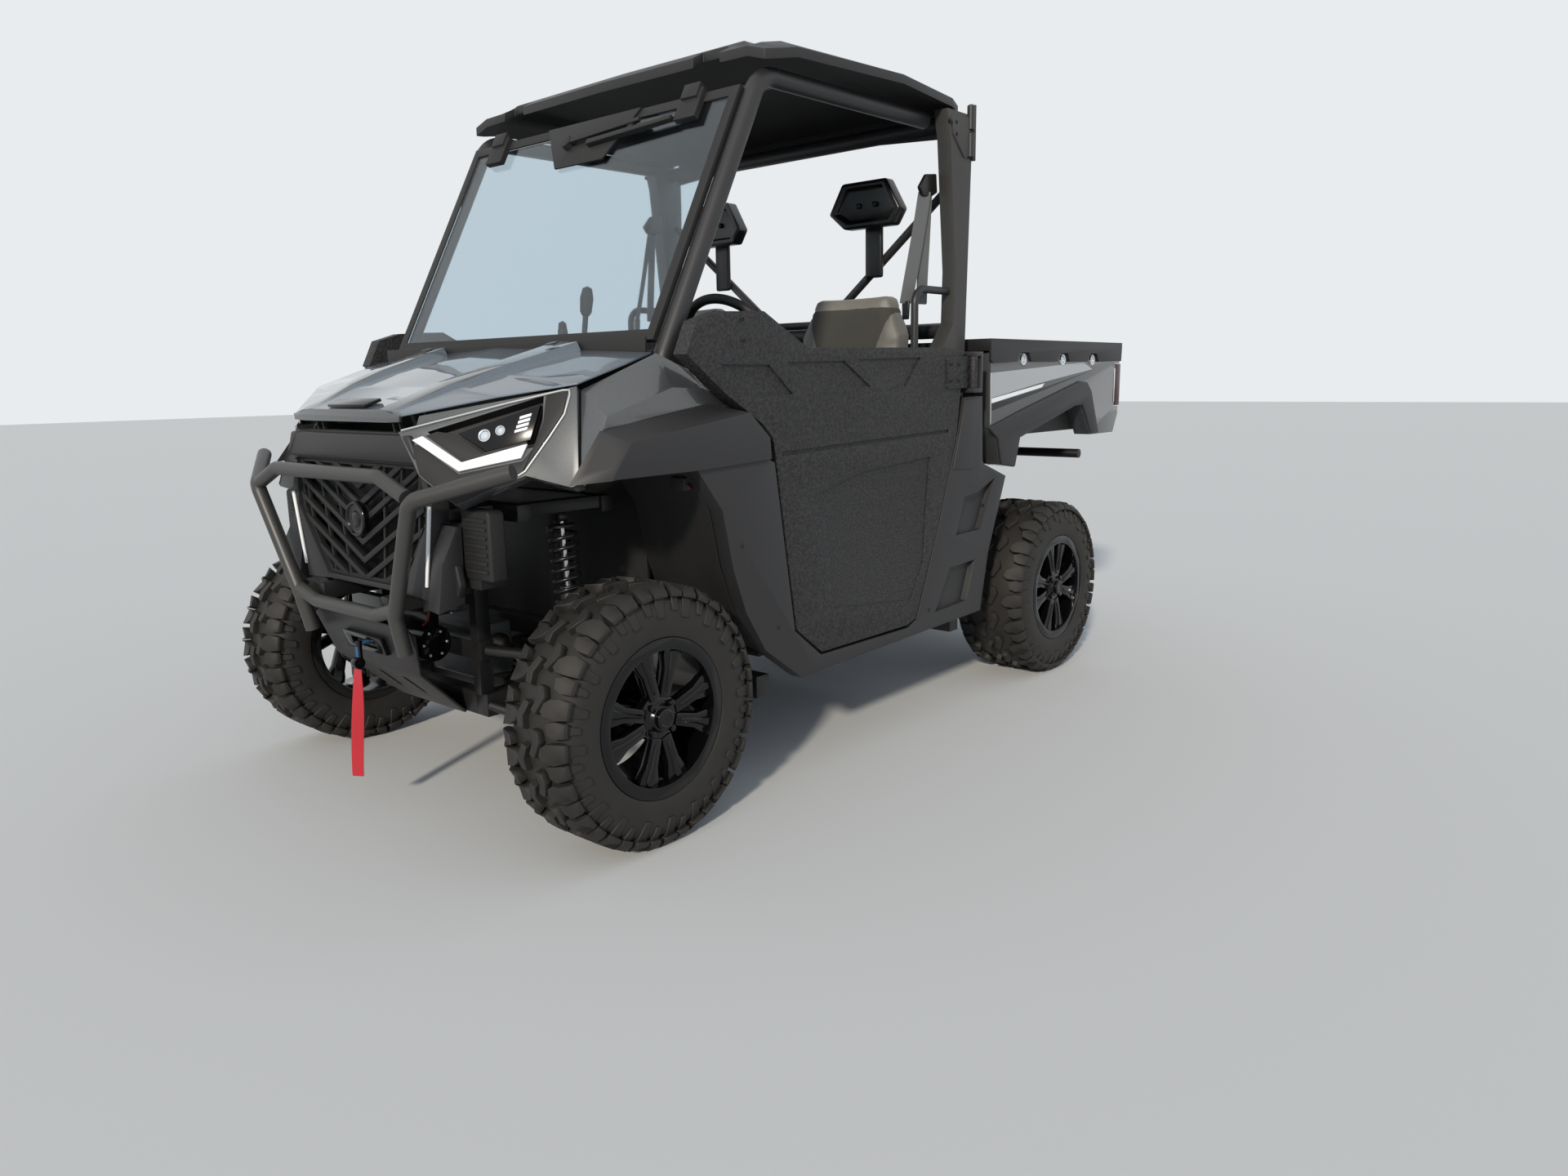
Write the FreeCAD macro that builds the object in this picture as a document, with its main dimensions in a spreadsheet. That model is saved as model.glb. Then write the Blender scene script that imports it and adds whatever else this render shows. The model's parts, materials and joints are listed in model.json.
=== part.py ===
"""A side-by-side utility vehicle with a half-door cab and a tipping bed, in millimetres.

The left side is +X, the front faces -Y and the wheels stand on Z = 0.
"""
import FreeCAD, Part
import math
import os

import Sketcher
from types import SimpleNamespace

V = FreeCAD.Vector
doc = FreeCAD.newDocument("SideBySide")

# Driving sizes, each written once: alias and millimetres, or degrees or a count where the name says so.
DRIVING = {
    # stance
    "wheelbase": 2044, "front_overhang": 410, "rear_overhang": 602,
    "wheel_radius": 325, "rim_radius": 178, "flange_height": 19,
    "front_tyre_width": 229, "rear_tyre_width": 279, "wheel_half_track": 790,
    "tread_depth": 18, "disc_radius": 95, "disc_thickness": 5,
    "kingpin_x": 590, "knuckle_height": 170, "ball_radius": 18, "arm_tube": 13,
    # tubes and walls
    "cab_tube": 25.5, "bumper_tube": 19, "brace_tube": 14, "rail_width": 50, "rail_height": 60,
    "rail_x": 230, "rail_bottom": 262, "panel": 4, "seat_gap": 0.3,
    # body lines
    "door_outer": 745, "door_thickness": 45, "belt_height": 1207, "sill_height": 300,
    "bed_half_width": 735, "bed_floor": 905, "bed_cap": 1240, "bed_length": 1065, "bed_wall": 30,
    "glass_half_width": 590, "glass_thickness": 6, "roof_height": 1960, "roof_half_width": 690,
    "pillar_x": 603, "b_pillar_ahead": 606,
    "seat_height": 860, "cushion_thickness": 110, "bucket_width": 430, "bucket_x": 385, "middle_width": 320,
    "seat_setback": 788, "seat_box_depth": 480, "seat_back_top": 1390, "headrest_x": 356,
    "headrest_drop": 347,
    "wheel_rim_radius": 178, "wheel_rim_tube": 14, "wheel_x": 400, "wheel_setback": 679, "wheel_z": 1190,
    "wheel_rake": 30,
    # running gear
    "hub_plate_radius": 60, "spoke_lean": 17, "lug_count": 20, "lug_length": 50, "bearing_length": 24,
    "stub_length": 40, "stub_radius": 15, "running_gap": 1, "steering_arm": 85,
    "steering_offset": 10, "upper_pivot": 440, "arm_spread": 130, "tower_height": 830, "shock_top_x": 420,
    "shock_foot_x": 450, "spring_radius": 40, "drive_height": 410, "bed_rail": 790, "receiver_inside": 51,
    "receiver_pin": 8, 
    # cab
    "roof_setback": 558, "b_pillar_x": 640, "b_pillar_depth": 50, "brace_drop": 252, "brace_foot_x": 127,
    "roof_wall": 26, "screen_hinge_x": 430, "screen_foot": 1215, "screen_drop": 95,
    "screen_lip": 30, "hood_hinge_x": 190, "hood_hinge_setback": 103, "hood_hinge_z": 1040, "hood_pin": 4,
    "hinge_x": 762, "hinge_ahead": 626, "hinge_low": 1080, "hinge_high": 1180, "hinge_pin": 8,
    "floor_top": 390, "cab_inner": 630, "dash_depth": 380, "grille_pitch": 48, "bed_hinge_behind": 454,
    "bed_hinge_z": 862, "gate_hinge_x": 400,
}

sheet = doc.addObject("Spreadsheet::Sheet", "Sizes")
for row, (alias, amount) in enumerate(DRIVING.items(), start=1):
    sheet.set(f"A{row}", alias)
    sheet.set(f"B{row}", str(amount))
    sheet.setAlias(f"B{row}", alias)
doc.recompute()


def text_of(amount):
    """The sheet expression of a length, or the plain number."""
    return amount.text if isinstance(amount, Size) else f"({amount})"


class Size:
    """A length that carries its sheet expression together with its number."""

    def __init__(self, text, number):
        self.text = text
        self.number = number

    def __float__(self):
        return float(self.number)

    def __add__(self, other):
        return Size(f"({self.text} + {text_of(other)})", self.number + float(other))

    def __radd__(self, other):
        return Size(f"({text_of(other)} + {self.text})", float(other) + self.number)

    def __sub__(self, other):
        return Size(f"({self.text} - {text_of(other)})", self.number - float(other))

    def __rsub__(self, other):
        return Size(f"({text_of(other)} - {self.text})", float(other) - self.number)

    def __mul__(self, factor):
        return Size(f"({self.text} * {text_of(factor)})", self.number * float(factor))

    def __rmul__(self, factor):
        return self * factor

    def __truediv__(self, factor):
        return Size(f"({self.text} / {text_of(factor)})", self.number / float(factor))

    def __neg__(self):
        return Size(f"(0 - {self.text})", -self.number)


def bind(thing, path, amount):
    """Set a property, and bind it to the sheet when the amount comes from there."""
    if isinstance(amount, Size):
        thing.setExpression(path, amount.text)
        return
    holder = thing
    *parents, last = path.split(".")
    if parents:
        thing.setExpression(path, str(amount))
        return
    setattr(holder, last, amount)


s = SimpleNamespace(**{name: Size(f"Sizes.{name}", sheet.get(name)) for name in DRIVING})

# Stations along the vehicle: both axles, and the middle plane at 0.
front = (s.front_overhang - s.wheelbase - s.rear_overhang) / 2
rear = (s.front_overhang + s.wheelbase - s.rear_overhang) / 2
nose = front - s.front_overhang
tail = rear + s.rear_overhang
hub = s.wheel_radius
front_wheel_x = s.wheel_half_track - s.front_tyre_width / 2
rear_wheel_x = s.wheel_half_track - s.rear_tyre_width / 2

# Stations that follow the axles and the ends.
s.b_pillar_y = rear - s.b_pillar_ahead
s.seat_front = front + s.seat_setback
s.wheel_y = front + s.wheel_setback
s.roof_front_y = front + s.roof_setback
s.hood_hinge_y = nose + s.hood_hinge_setback
s.hinge_y = rear - s.hinge_ahead
s.bed_hinge_y = rear + s.bed_hinge_behind
s.bed_front_y = tail - s.bed_length
s.headrest_low = s.roof_height - s.headrest_drop
s.brace_top = s.roof_height - s.brace_drop
s.screen_top = s.roof_height - s.screen_drop

# How a sketch lies in each plane, and which way its piece grows.
PLANES = {
    "side": (FreeCAD.Rotation(V(1, 1, 1), 120), V(1, 0, 0), "x"),
    "front": (FreeCAD.Rotation(V(1, 0, 0), 90), V(0, 1, 0), "y"),
    "top": (FreeCAD.Rotation(), V(0, 0, 1), "z"),
}
NODES = []

# The windscreen pillar runs straight between these two points, and the screen lies on it.
pillar_foot_y, pillar_foot_z = front + 185, 1150
hoop_foot_y = front + 438
pillar_head_y, pillar_head_z = s.roof_front_y + 20, s.roof_height - 60


def add(kind, name):
    return doc.addObject(kind, name)


def outline(name, plane, points, start=0.0, body=None, turn=0):
    """A closed sketch of straight sides, each corner bound to the sheet; turn swings it about X."""
    sketch = add("Sketcher::SketchObject", name)
    if body:
        body.addObject(sketch)
    count = len(points)
    corners = [V(float(a), float(b), 0) for a, b in points]
    for index in range(count):
        sketch.addGeometry(Part.LineSegment(corners[index], corners[(index + 1) % count]), False)
    for index in range(count):
        sketch.addConstraint(Sketcher.Constraint("Coincident", index, 2, (index + 1) % count, 1))
    for index, point in enumerate(points):
        for axis, amount in zip(("DistanceX", "DistanceY"), point):
            number = sketch.addConstraint(Sketcher.Constraint(axis, -1, 1, index, 1, float(amount)))
            sketch.renameConstraint(number, f"{axis}{index}")
            if isinstance(amount, Size):
                sketch.setExpression(f"Constraints.{axis}{index}", amount.text)
    rotation, _, letter = PLANES[plane]
    sketch.Placement = FreeCAD.Placement(V(), FreeCAD.Rotation(V(1, 0, 0), turn) * rotation)
    if turn:
        bind(sketch, "Placement.Base.y", start * math.cos(math.radians(turn)))
        bind(sketch, "Placement.Base.z", start * math.sin(math.radians(turn)))
    else:
        bind(sketch, f"Placement.Base.{letter}", start)
    return sketch


def rounded(name, body, plane, rounds):
    """Round the corners of a plate: rounds lists (corner a, corner b, radius)."""
    doc.recompute()
    direction = PLANES[plane][1]
    picked = []
    for index, edge in enumerate(body.Shape.Edges, start=1):
        if len(edge.Vertexes) != 2:
            continue
        first, last = edge.Vertexes[0].Point, edge.Vertexes[1].Point
        along = last - first
        if along.cross(direction).Length > 1e-6 * along.Length:
            continue
        flat = {"side": (first.y, first.z), "front": (first.x, first.z), "top": (first.x, first.y)}[plane]
        for a, b, radius in rounds:
            if math.hypot(flat[0] - float(a), flat[1] - float(b)) < 0.5:
                picked.append((index, float(radius), float(radius)))
    soft = add("Part::Fillet", name)
    soft.Base = body
    soft.Edges = picked
    return soft


def plate(name, plane, points, start, depth, rounds=None):
    """A flat piece: an outline in a plane, grown from start by depth."""
    sketch = outline(name + "_outline", plane, points, start)
    solid = add("Part::Extrusion", name + "_plate" if rounds else name)
    solid.Base = sketch
    solid.DirMode = "Custom"
    solid.Dir = PLANES[plane][1]
    solid.Solid = True
    bind(solid, "LengthFwd", depth)
    if not rounds:
        return solid
    return rounded(name, solid, plane, [(*points[index], radius) for index, radius in rounds.items()])


def block(name, low, high):
    """A plain box from its low corner to its high corner."""
    box = add("Part::Box", name)
    for side, letter, a, b in zip(("Length", "Width", "Height"), "xyz", low, high):
        bind(box, side, b - a)
        bind(box, f"Placement.Base.{letter}", a)
    return box


def side_block(name, side, low, high):
    """A box on one side of the vehicle: x is counted outward from the middle plane."""
    if side > 0:
        return block(name, low, high)
    return block(name, (-high[0], low[1], low[2]), (-low[0], high[1], high[2]))


def rod(name, start, end, radius):
    """A straight round bar between two points."""
    a, b = (V(*(float(n) for n in point)) for point in (start, end))
    bar = add("Part::Cylinder", name)
    bind(bar, "Radius", radius)
    bar.Height = (b - a).Length
    bar.Placement = FreeCAD.Placement(a, FreeCAD.Rotation(V(0, 0, 1), b - a))
    return bar


def bent_path(points, bend):
    """Straight runs joined by tangent arcs of one bend radius."""
    corners = [V(*(float(n) for n in point)) for point in points]
    edges = []
    here = corners[0]
    for before, corner, after in zip(corners, corners[1:], corners[2:]):
        back = (before - corner).normalize()
        ahead = (after - corner).normalize()
        half = back.getAngle(ahead) / 2
        reach = float(bend) / math.tan(half)
        start, end = corner + back * reach, corner + ahead * reach
        bisector = (back + ahead).normalize()
        middle = corner + bisector * (float(bend) / math.sin(half) - float(bend))
        edges.append(Part.LineSegment(here, start).toShape())
        edges.append(Part.Arc(start, middle, end).toShape())
        here = end
    edges.append(Part.LineSegment(here, corners[-1]).toShape())
    return Part.Wire(edges)


def tube(name, points, radius, bend):
    """A round tube bent through its points."""
    path = bent_path(points, bend)
    first = path.Edges[0]
    ring = Part.Wire(Part.makeCircle(float(radius), first.Vertexes[0].Point,
                                     first.tangentAt(first.FirstParameter)))
    piece = add("Part::Feature", name)
    piece.Shape = path.makePipeShell([ring], True, False)
    return piece


def turned(name, points, at):
    """A round piece turned about X: points are (along X, radius) about its centre."""
    sketch = outline(name + "_section", "front", points)
    solid = add("Part::Revolution", name)
    solid.Source = sketch
    solid.Axis = V(1, 0, 0)
    solid.Base = V(0, 0, 0)
    solid.Angle = 360
    solid.Solid = True
    for letter, amount in zip("xyz", at):
        bind(solid, f"Placement.Base.{letter}", amount)
    return solid


def ring_feature(body, name, points):
    """Material turned about X inside a body, from (along X, radius) points."""
    sketch = outline(name + "_section", "front", points, 0.0, body)
    ring = body.newObject("PartDesign::Revolution", name)
    ring.Profile = (sketch, [""])
    ring.ReferenceAxis = (sketch, ["H_Axis"])
    ring.Angle = 360
    return ring


def pad_feature(body, name, plane, points, start, depth, turn=0):
    """A pad inside a body."""
    sketch = outline(name + "_outline", plane, points, start, body, turn)
    pad = body.newObject("PartDesign::Pad", name)
    pad.Profile = (sketch, [""])
    bind(pad, "Length", depth)
    return pad


def around(body, name, features, axis_sketch, count):
    """Repeat features evenly about X inside a body."""
    pattern = body.newObject("PartDesign::PolarPattern", name)
    pattern.Originals = features
    pattern.Axis = (axis_sketch, ["H_Axis"])
    pattern.Angle = 360
    bind(pattern, "Occurrences", count)
    body.Tip = pattern
    return pattern


def polar(radius, angle, aside):
    """A point of the side plane at a radius and an angle in degrees, moved aside from that line."""
    c, q = math.cos(math.radians(float(angle))), math.sin(math.radians(float(angle)))
    return radius * c - aside * q, radius * q + aside * c


def loft(name, plane, stations):
    """A ruled loft through outlines: stations lists (station, points), each with as many points."""
    piece = add("Part::Loft", name)
    piece.Sections = [outline(f"{name}_section{index}", plane, points, station)
                      for index, (station, points) in enumerate(stations)]
    piece.Solid = True
    piece.Ruled = True
    return piece


def placed(name, piece, base, rotation):
    """A piece made at the origin, turned and set in its place."""
    holder = add("Part::Compound", name)
    holder.Links = [piece]
    holder.Placement = FreeCAD.Placement(base, rotation)
    return holder


def mirrored(name, source):
    """The same piece on the other side."""
    other = add("Part::Mirroring", name)
    other.Source = source
    other.Normal = V(1, 0, 0)
    other.Base = V(0, 0, 0)
    return other


def joined(name, parts):
    fused = add("Part::MultiFuse", name)
    fused.Shapes = parts
    return fused


def cut(name, base, tools):
    """A piece with its holes and recesses taken out."""
    cutter = tools[0] if len(tools) == 1 else joined(name + "_cutter", tools)
    piece = add("Part::Cut", name)
    piece.Base = base
    piece.Tool = cutter
    return piece


def node(label, *parts):
    """Name a finished sub-part: several solids of one node stay apart."""
    if len(parts) == 1:
        piece = parts[0]
    else:
        piece = add("Part::Compound", label + "_set")
        piece.Links = list(parts)
    piece.Label = label
    NODES.append(piece)
    return piece


def pair(name, source):
    """A piece of the left side with its like on the right."""
    return source, mirrored(name + "_right", source)


def make_tyre(name, width):
    """A tyre as one body: a turned carcass with shoulder lugs and angled centre blocks in rings."""
    body = add("PartDesign::Body", name)
    half = width / 2
    bead, wall, top = half - 14, half - 8, s.wheel_radius
    base = top - s.tread_depth
    bead_top = s.rim_radius + s.flange_height + s.seat_gap
    foot = s.rim_radius + s.seat_gap
    carcass = ring_feature(body, f"{name}_carcass", [
        (-bead + 11, foot), (-bead + 7, bead_top), (-bead - 2, bead_top), (-wall, s.rim_radius + 58),
        (-wall, base - 42), (-wall + 24, base), (wall - 24, base), (wall, base - 42),
        (wall, s.rim_radius + 58), (bead + 2, bead_top), (bead - 7, bead_top), (bead - 11, foot)])
    features = []
    for side, turn in ((1, 0), (-1, 180 / float(s.lug_count))):
        features.append(pad_feature(body, f"{name}_shoulder{side}", "front", [
            ((half - 74) * side, base - 6), ((half - 74) * side, top), ((half - 20) * side, top),
            (half * side, top - 24), (half * side, top - 64), ((half - 12) * side, top - 72),
        ], s.lug_length / 2, s.lug_length, turn))
    features.append(pad_feature(body, f"{name}_block", "top", [
        (-38, -34), (-8, -40), (38, 18), (12, 40)], base - 6, s.tread_depth + 6))
    around(body, f"{name}_lugs", features, carcass.Profile[0], s.lug_count)
    return body


def make_rim(name, middle, width):
    """A rim as one body: barrel, four pairs of spokes, the hub and the brake disc behind it."""
    body = add("PartDesign::Body", name)
    bead = width / 2 - 14
    lip = s.rim_radius + s.flange_height
    barrel = ring_feature(body, f"{name}_barrel", [
        (-bead, s.rim_radius - 10), (-bead, lip), (-bead + 6, lip), (-bead + 10, s.rim_radius),
        (bead - 10, s.rim_radius), (bead - 6, lip), (bead, lip), (bead, s.rim_radius - 10)])
    face = bead - 26
    inner, outer = s.hub_plate_radius - 12, s.rim_radius - 2
    spokes = []
    for way in (-1, 1):
        lean = s.spoke_lean * way
        spoke = pad_feature(body, f"{name}_spoke{way}", "side", [
            polar(inner, lean, -14), polar(outer, lean, -21), polar(outer, lean, 21), polar(inner, lean, 14),
        ], face - 14, 26)
        spoke.TaperAngle = -12
        spokes.append(spoke)
    around(body, f"{name}_spokes", spokes, barrel.Profile[0], 4)
    ring_feature(body, f"{name}_hub", [
        (face - 18, 0), (face - 18, s.hub_plate_radius), (face + 6, s.hub_plate_radius),
        (face + 12, s.hub_plate_radius - 10), (face + 12, 36), (face + 22, 30), (face + 22, 0)])
    disc = s.kingpin_x - middle + s.bearing_length + s.running_gap
    ring_feature(body, f"{name}_disc", [
        (disc, s.stub_radius + 0.06), (disc, s.disc_radius), (disc + s.disc_thickness, s.disc_radius),
        (disc + s.disc_thickness, 45), (face - 10, 45), (face - 10, s.stub_radius + 0.06)])
    return body


def make_wheels():
    """Tyre and rim at each corner, the right-hand ones mirrored."""
    for end, tags, station, middle, width in (
        # end, nodes left and right, axle, middle of the tyre, tyre width
        ("front", "lr", front, front_wheel_x, s.front_tyre_width),
        ("rear", "lr", rear, rear_wheel_x, s.rear_tyre_width),
    ):
        for kind, body in (("tyre", make_tyre(f"{end}_tyre_body", width)),
                           ("rim", make_rim(f"{end}_rim_body", middle, width))):
            for letter, amount in zip("xyz", (middle, station, hub)):
                bind(body, f"Placement.Base.{letter}", amount)
            node(f"{kind}_{end[0]}{tags[0]}", body)
            node(f"{kind}_{end[0]}{tags[1]}", mirrored(f"{end}_{kind}_right", body))


def make_uprights():
    """Steered uprights at the front and fixed ones at the rear, all between the arms' ends."""
    half = s.knuckle_height / 2
    rear_pair = []
    for tag, side, station in (("fl", 1, front), ("fr", -1, front), ("rl", 1, rear), ("rr", -1, rear)):
        x = s.kingpin_x * side
        post = block(f"knuckle_{tag}_post", (x - 14, station - 32, hub - half + 12),
                     (x + 14, station + 32, hub + half - 12))
        pin = rod(f"knuckle_{tag}_pin", (x, station, hub - half), (x, station, hub + half), s.ball_radius)
        bearing = rod(f"knuckle_{tag}_bearing", (x, station, hub),
                      (x + s.bearing_length * side, station, hub), 36)
        stub = rod(f"knuckle_{tag}_stub", (x, station, hub),
                   (x + (s.bearing_length + s.stub_length) * side, station, hub), s.stub_radius)
        parts = [post, pin, bearing, stub]
        if tag in ("fl", "fr"):
            reach = x - s.steering_offset * side
            parts.append(block(f"knuckle_{tag}_arm", (reach - 10, station + 20, hub - 12),
                               (reach + 10, station + s.steering_arm + 14, hub)))
            node(f"knuckle_{tag}", joined(f"knuckle_{tag}_upright", parts))
        else:
            rear_pair.append(joined(f"knuckle_{tag}_upright", parts))
    node("rear_uprights", *rear_pair)


def make_arms():
    """Upper and lower wishbones: two tubes from the frame to a cup at the upright."""
    half = s.knuckle_height / 2
    inner_x = s.rail_x + s.rail_width / 2 + s.seat_gap
    pieces = []
    for end, station in (("front", front), ("rear", rear)):
        for level, z, cup_low, inner_z in (
            ("lower", hub - half - 24, hub - half - 40, s.rail_bottom + s.rail_height / 2),
            ("upper", hub + half + 24, hub + half + s.seat_gap, s.upper_pivot),
        ):
            name = f"{end}_{level}"
            cup = rod(f"{name}_cup", (s.kingpin_x, station, cup_low),
                      (s.kingpin_x, station, cup_low + 40 - s.seat_gap), s.ball_radius + 2)
            legs = [rod(f"{name}_leg{way}", (s.kingpin_x, station, z),
                        (inner_x, station + way * s.arm_spread, inner_z), s.arm_tube) for way in (-1, 1)]
            reach = s.arm_spread * 0.42
            if level == "upper":
                legs.append(rod(f"{name}_crossbar", (s.shock_foot_x, station - reach, z + 2),
                                (s.shock_foot_x, station + reach, z + 2), s.arm_tube - 2))
            trim = block(f"{name}_trim", (inner_x - 60, station - 300, inner_z - 90),
                         (inner_x, station + 300, inner_z + 90))
            pieces += pair(name, cut(f"{name}_arm", joined(f"{name}_raw", [cup] + legs), [trim]))
    node("wishbones", *pieces)


def make_shocks():
    """A coil-over at each corner, from the tower down to the upper wishbone's crossbar."""
    pieces = []
    eye = 14
    for end, station in (("front", front), ("rear", rear)):
        foot_z = hub + s.knuckle_height / 2 + 24 + 2 + (s.arm_tube - 2) + s.seat_gap + eye
        top_z = s.tower_height - 30 - s.seat_gap - eye
        foot = V(float(s.shock_foot_x), float(station), float(foot_z))
        top = V(float(s.shock_top_x), float(station), float(top_z))
        span = top - foot
        body = joined(f"{end}_shock", [
            rod(f"{end}_shock_rod", foot, top, 9),
            rod(f"{end}_shock_foot", foot - V(0, 14, 0), foot + V(0, 14, 0), eye),
            rod(f"{end}_shock_head", top - V(0, 14, 0), top + V(0, 14, 0), eye),
            rod(f"{end}_shock_tube", foot + span * 0.08, foot + span * 0.6, 22),
            rod(f"{end}_shock_spring", foot + span * 0.25, foot + span * 0.93, s.spring_radius),
        ])
        pieces += pair(f"{end}_shock", body)
    node("shocks", *pieces)


def make_frame():
    """The chassis: a ladder of box rails, the front and rear towers on it, and the bar under the tail."""
    x, w = s.rail_x, s.rail_width / 2
    low, high = s.rail_bottom, s.rail_bottom + s.rail_height
    deck = high + s.seat_gap
    gap = s.seat_gap
    ladder, towers = [], {"front": [], "rear": []}
    for side in (-1, 1):
        ladder.append(side_block(f"rail{side}", side, (x - w, front - 140, low), (x + w, rear + 400, high)))
    for index, (station, width) in enumerate((
        # place along the vehicle, width along it
        (front - 140, 40), (front - 20, 50), (front + 60, 50), (front + 300, 50), (rear - 600, 50),
        (rear - 200, 50), (rear - 25, 50), (rear + 350, 50),
    )):
        ladder.append(block(f"cross{index}", (-x + w + gap, station, low),
                            (x - w - gap, station + width, high)))
    out = s.door_outer - s.door_thickness - gap
    for index, station in enumerate((hoop_foot_y - 25, s.b_pillar_y - 40)):
        ladder += [side_block(f"outrigger{side}_{index}", side, (x + w + gap, station, low),
                              (out, station + 50, high))
                   for side in (-1, 1)]
    for end, station, top in (("front", front, s.tower_height), ("rear", rear, s.tower_height)):
        for index, place in enumerate((station - 150, station + 110)):
            for side in (-1, 1):
                towers[end].append(side_block(f"{end}_post{side}_{index}", side, (x - w + 10, place, deck),
                                              (x + w - 10, place + 40, top)))
            towers[end].append(block(f"{end}_tower_bar{index}", (-s.shock_top_x - 30, place, top - 40),
                                     (s.shock_top_x + 30, place + 40, top)))
            towers[end].append(block(f"{end}_pivot_bar{index}", (-x - w, place, s.upper_pivot - 25),
                                     (x + w, place + 40, s.upper_pivot + 25)))
        for side in (-1, 1):
            towers[end].append(side_block(f"{end}_hanger{side}", side,
                                          (s.shock_top_x - 20, station - 150, top - 30),
                                          (s.shock_top_x + 20, station + 150, top)))
    guard_back = nose + 42 + s.bumper_tube - 1 + s.seat_gap
    for side in (-1, 1):
        towers["front"] += [
            side_block(f"horn{side}", side, (144, guard_back, 565), (176, front - 110, 605)),
            side_block(f"horn_tie{side}", side, (144, front - 150, 565), (x + 15, front - 110, 605)),
            side_block(f"nose_rail{side}", side, (322, nose + 138 + s.seat_gap, 800),
                       (350, front - 140, 825))]
        towers["rear"] += [
            side_block(f"bed_rail{side}", side, (x - w, rear - 420, s.bed_rail),
                       (x + w, s.bed_hinge_y + 20, s.bed_rail + 45)),
            side_block(f"seat_post{side}", side, (x - w + 10, rear - 420, deck),
                       (x + w - 10, rear - 380, s.bed_rail + 5)),
            rod(f"bed_pin{side}", (x * side - 23, s.bed_hinge_y, s.bed_hinge_z),
                (x * side + 23, s.bed_hinge_y, s.bed_hinge_z), 8)]
        for step in (-1, 1):
            towers["rear"].append(side_block(f"bed_ear{side}{step}", side,
                                             (x + step * 18 - 5, s.bed_hinge_y - 14, s.bed_rail + 40),
                                             (x + step * 18 + 5, s.bed_hinge_y + 14, s.bed_hinge_z + 12)))
    towers["rear"] += [
        block("bed_cross", (-x, s.bed_hinge_y - 60, s.bed_rail), (x, s.bed_hinge_y - 20, s.bed_rail + 45))]
    # The round bar across the tail: a stub each side, seated on the outer face of its bed rail.
    stubs = [rod(f"rear_bar{side}", ((x + w + gap) * side, rear + 406, s.bed_rail + 12),
                 (650 * side, rear + 406, s.bed_rail + 12), 18)
             for side in (-1, 1)]
    # The tow receiver: a square tube under the tail, with a cross hole for its pin.
    middle_z, half_out, half_in = low + s.rail_height / 2, s.receiver_inside / 2 + 6, s.receiver_inside / 2
    receiver = block("receiver", (-half_out, rear + 400 + gap, middle_z - half_out),
                     (half_out, rear + 520, middle_z + half_out))
    hollow = block("receiver_hollow", (-half_in, rear + 399, middle_z - half_in),
                   (half_in, rear + 521, middle_z + half_in))
    pin_hole = rod("receiver_pin_hole", (-half_out - 1, rear + 490, middle_z),
                   (half_out + 1, rear + 490, middle_z), s.receiver_pin)
    node("frame", *ladder, cut("receiver_tube", receiver, [hollow, pin_hole]),
         joined("front_tower_set", towers["front"]), joined("rear_tower_set", towers["rear"]), *stubs)


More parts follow.
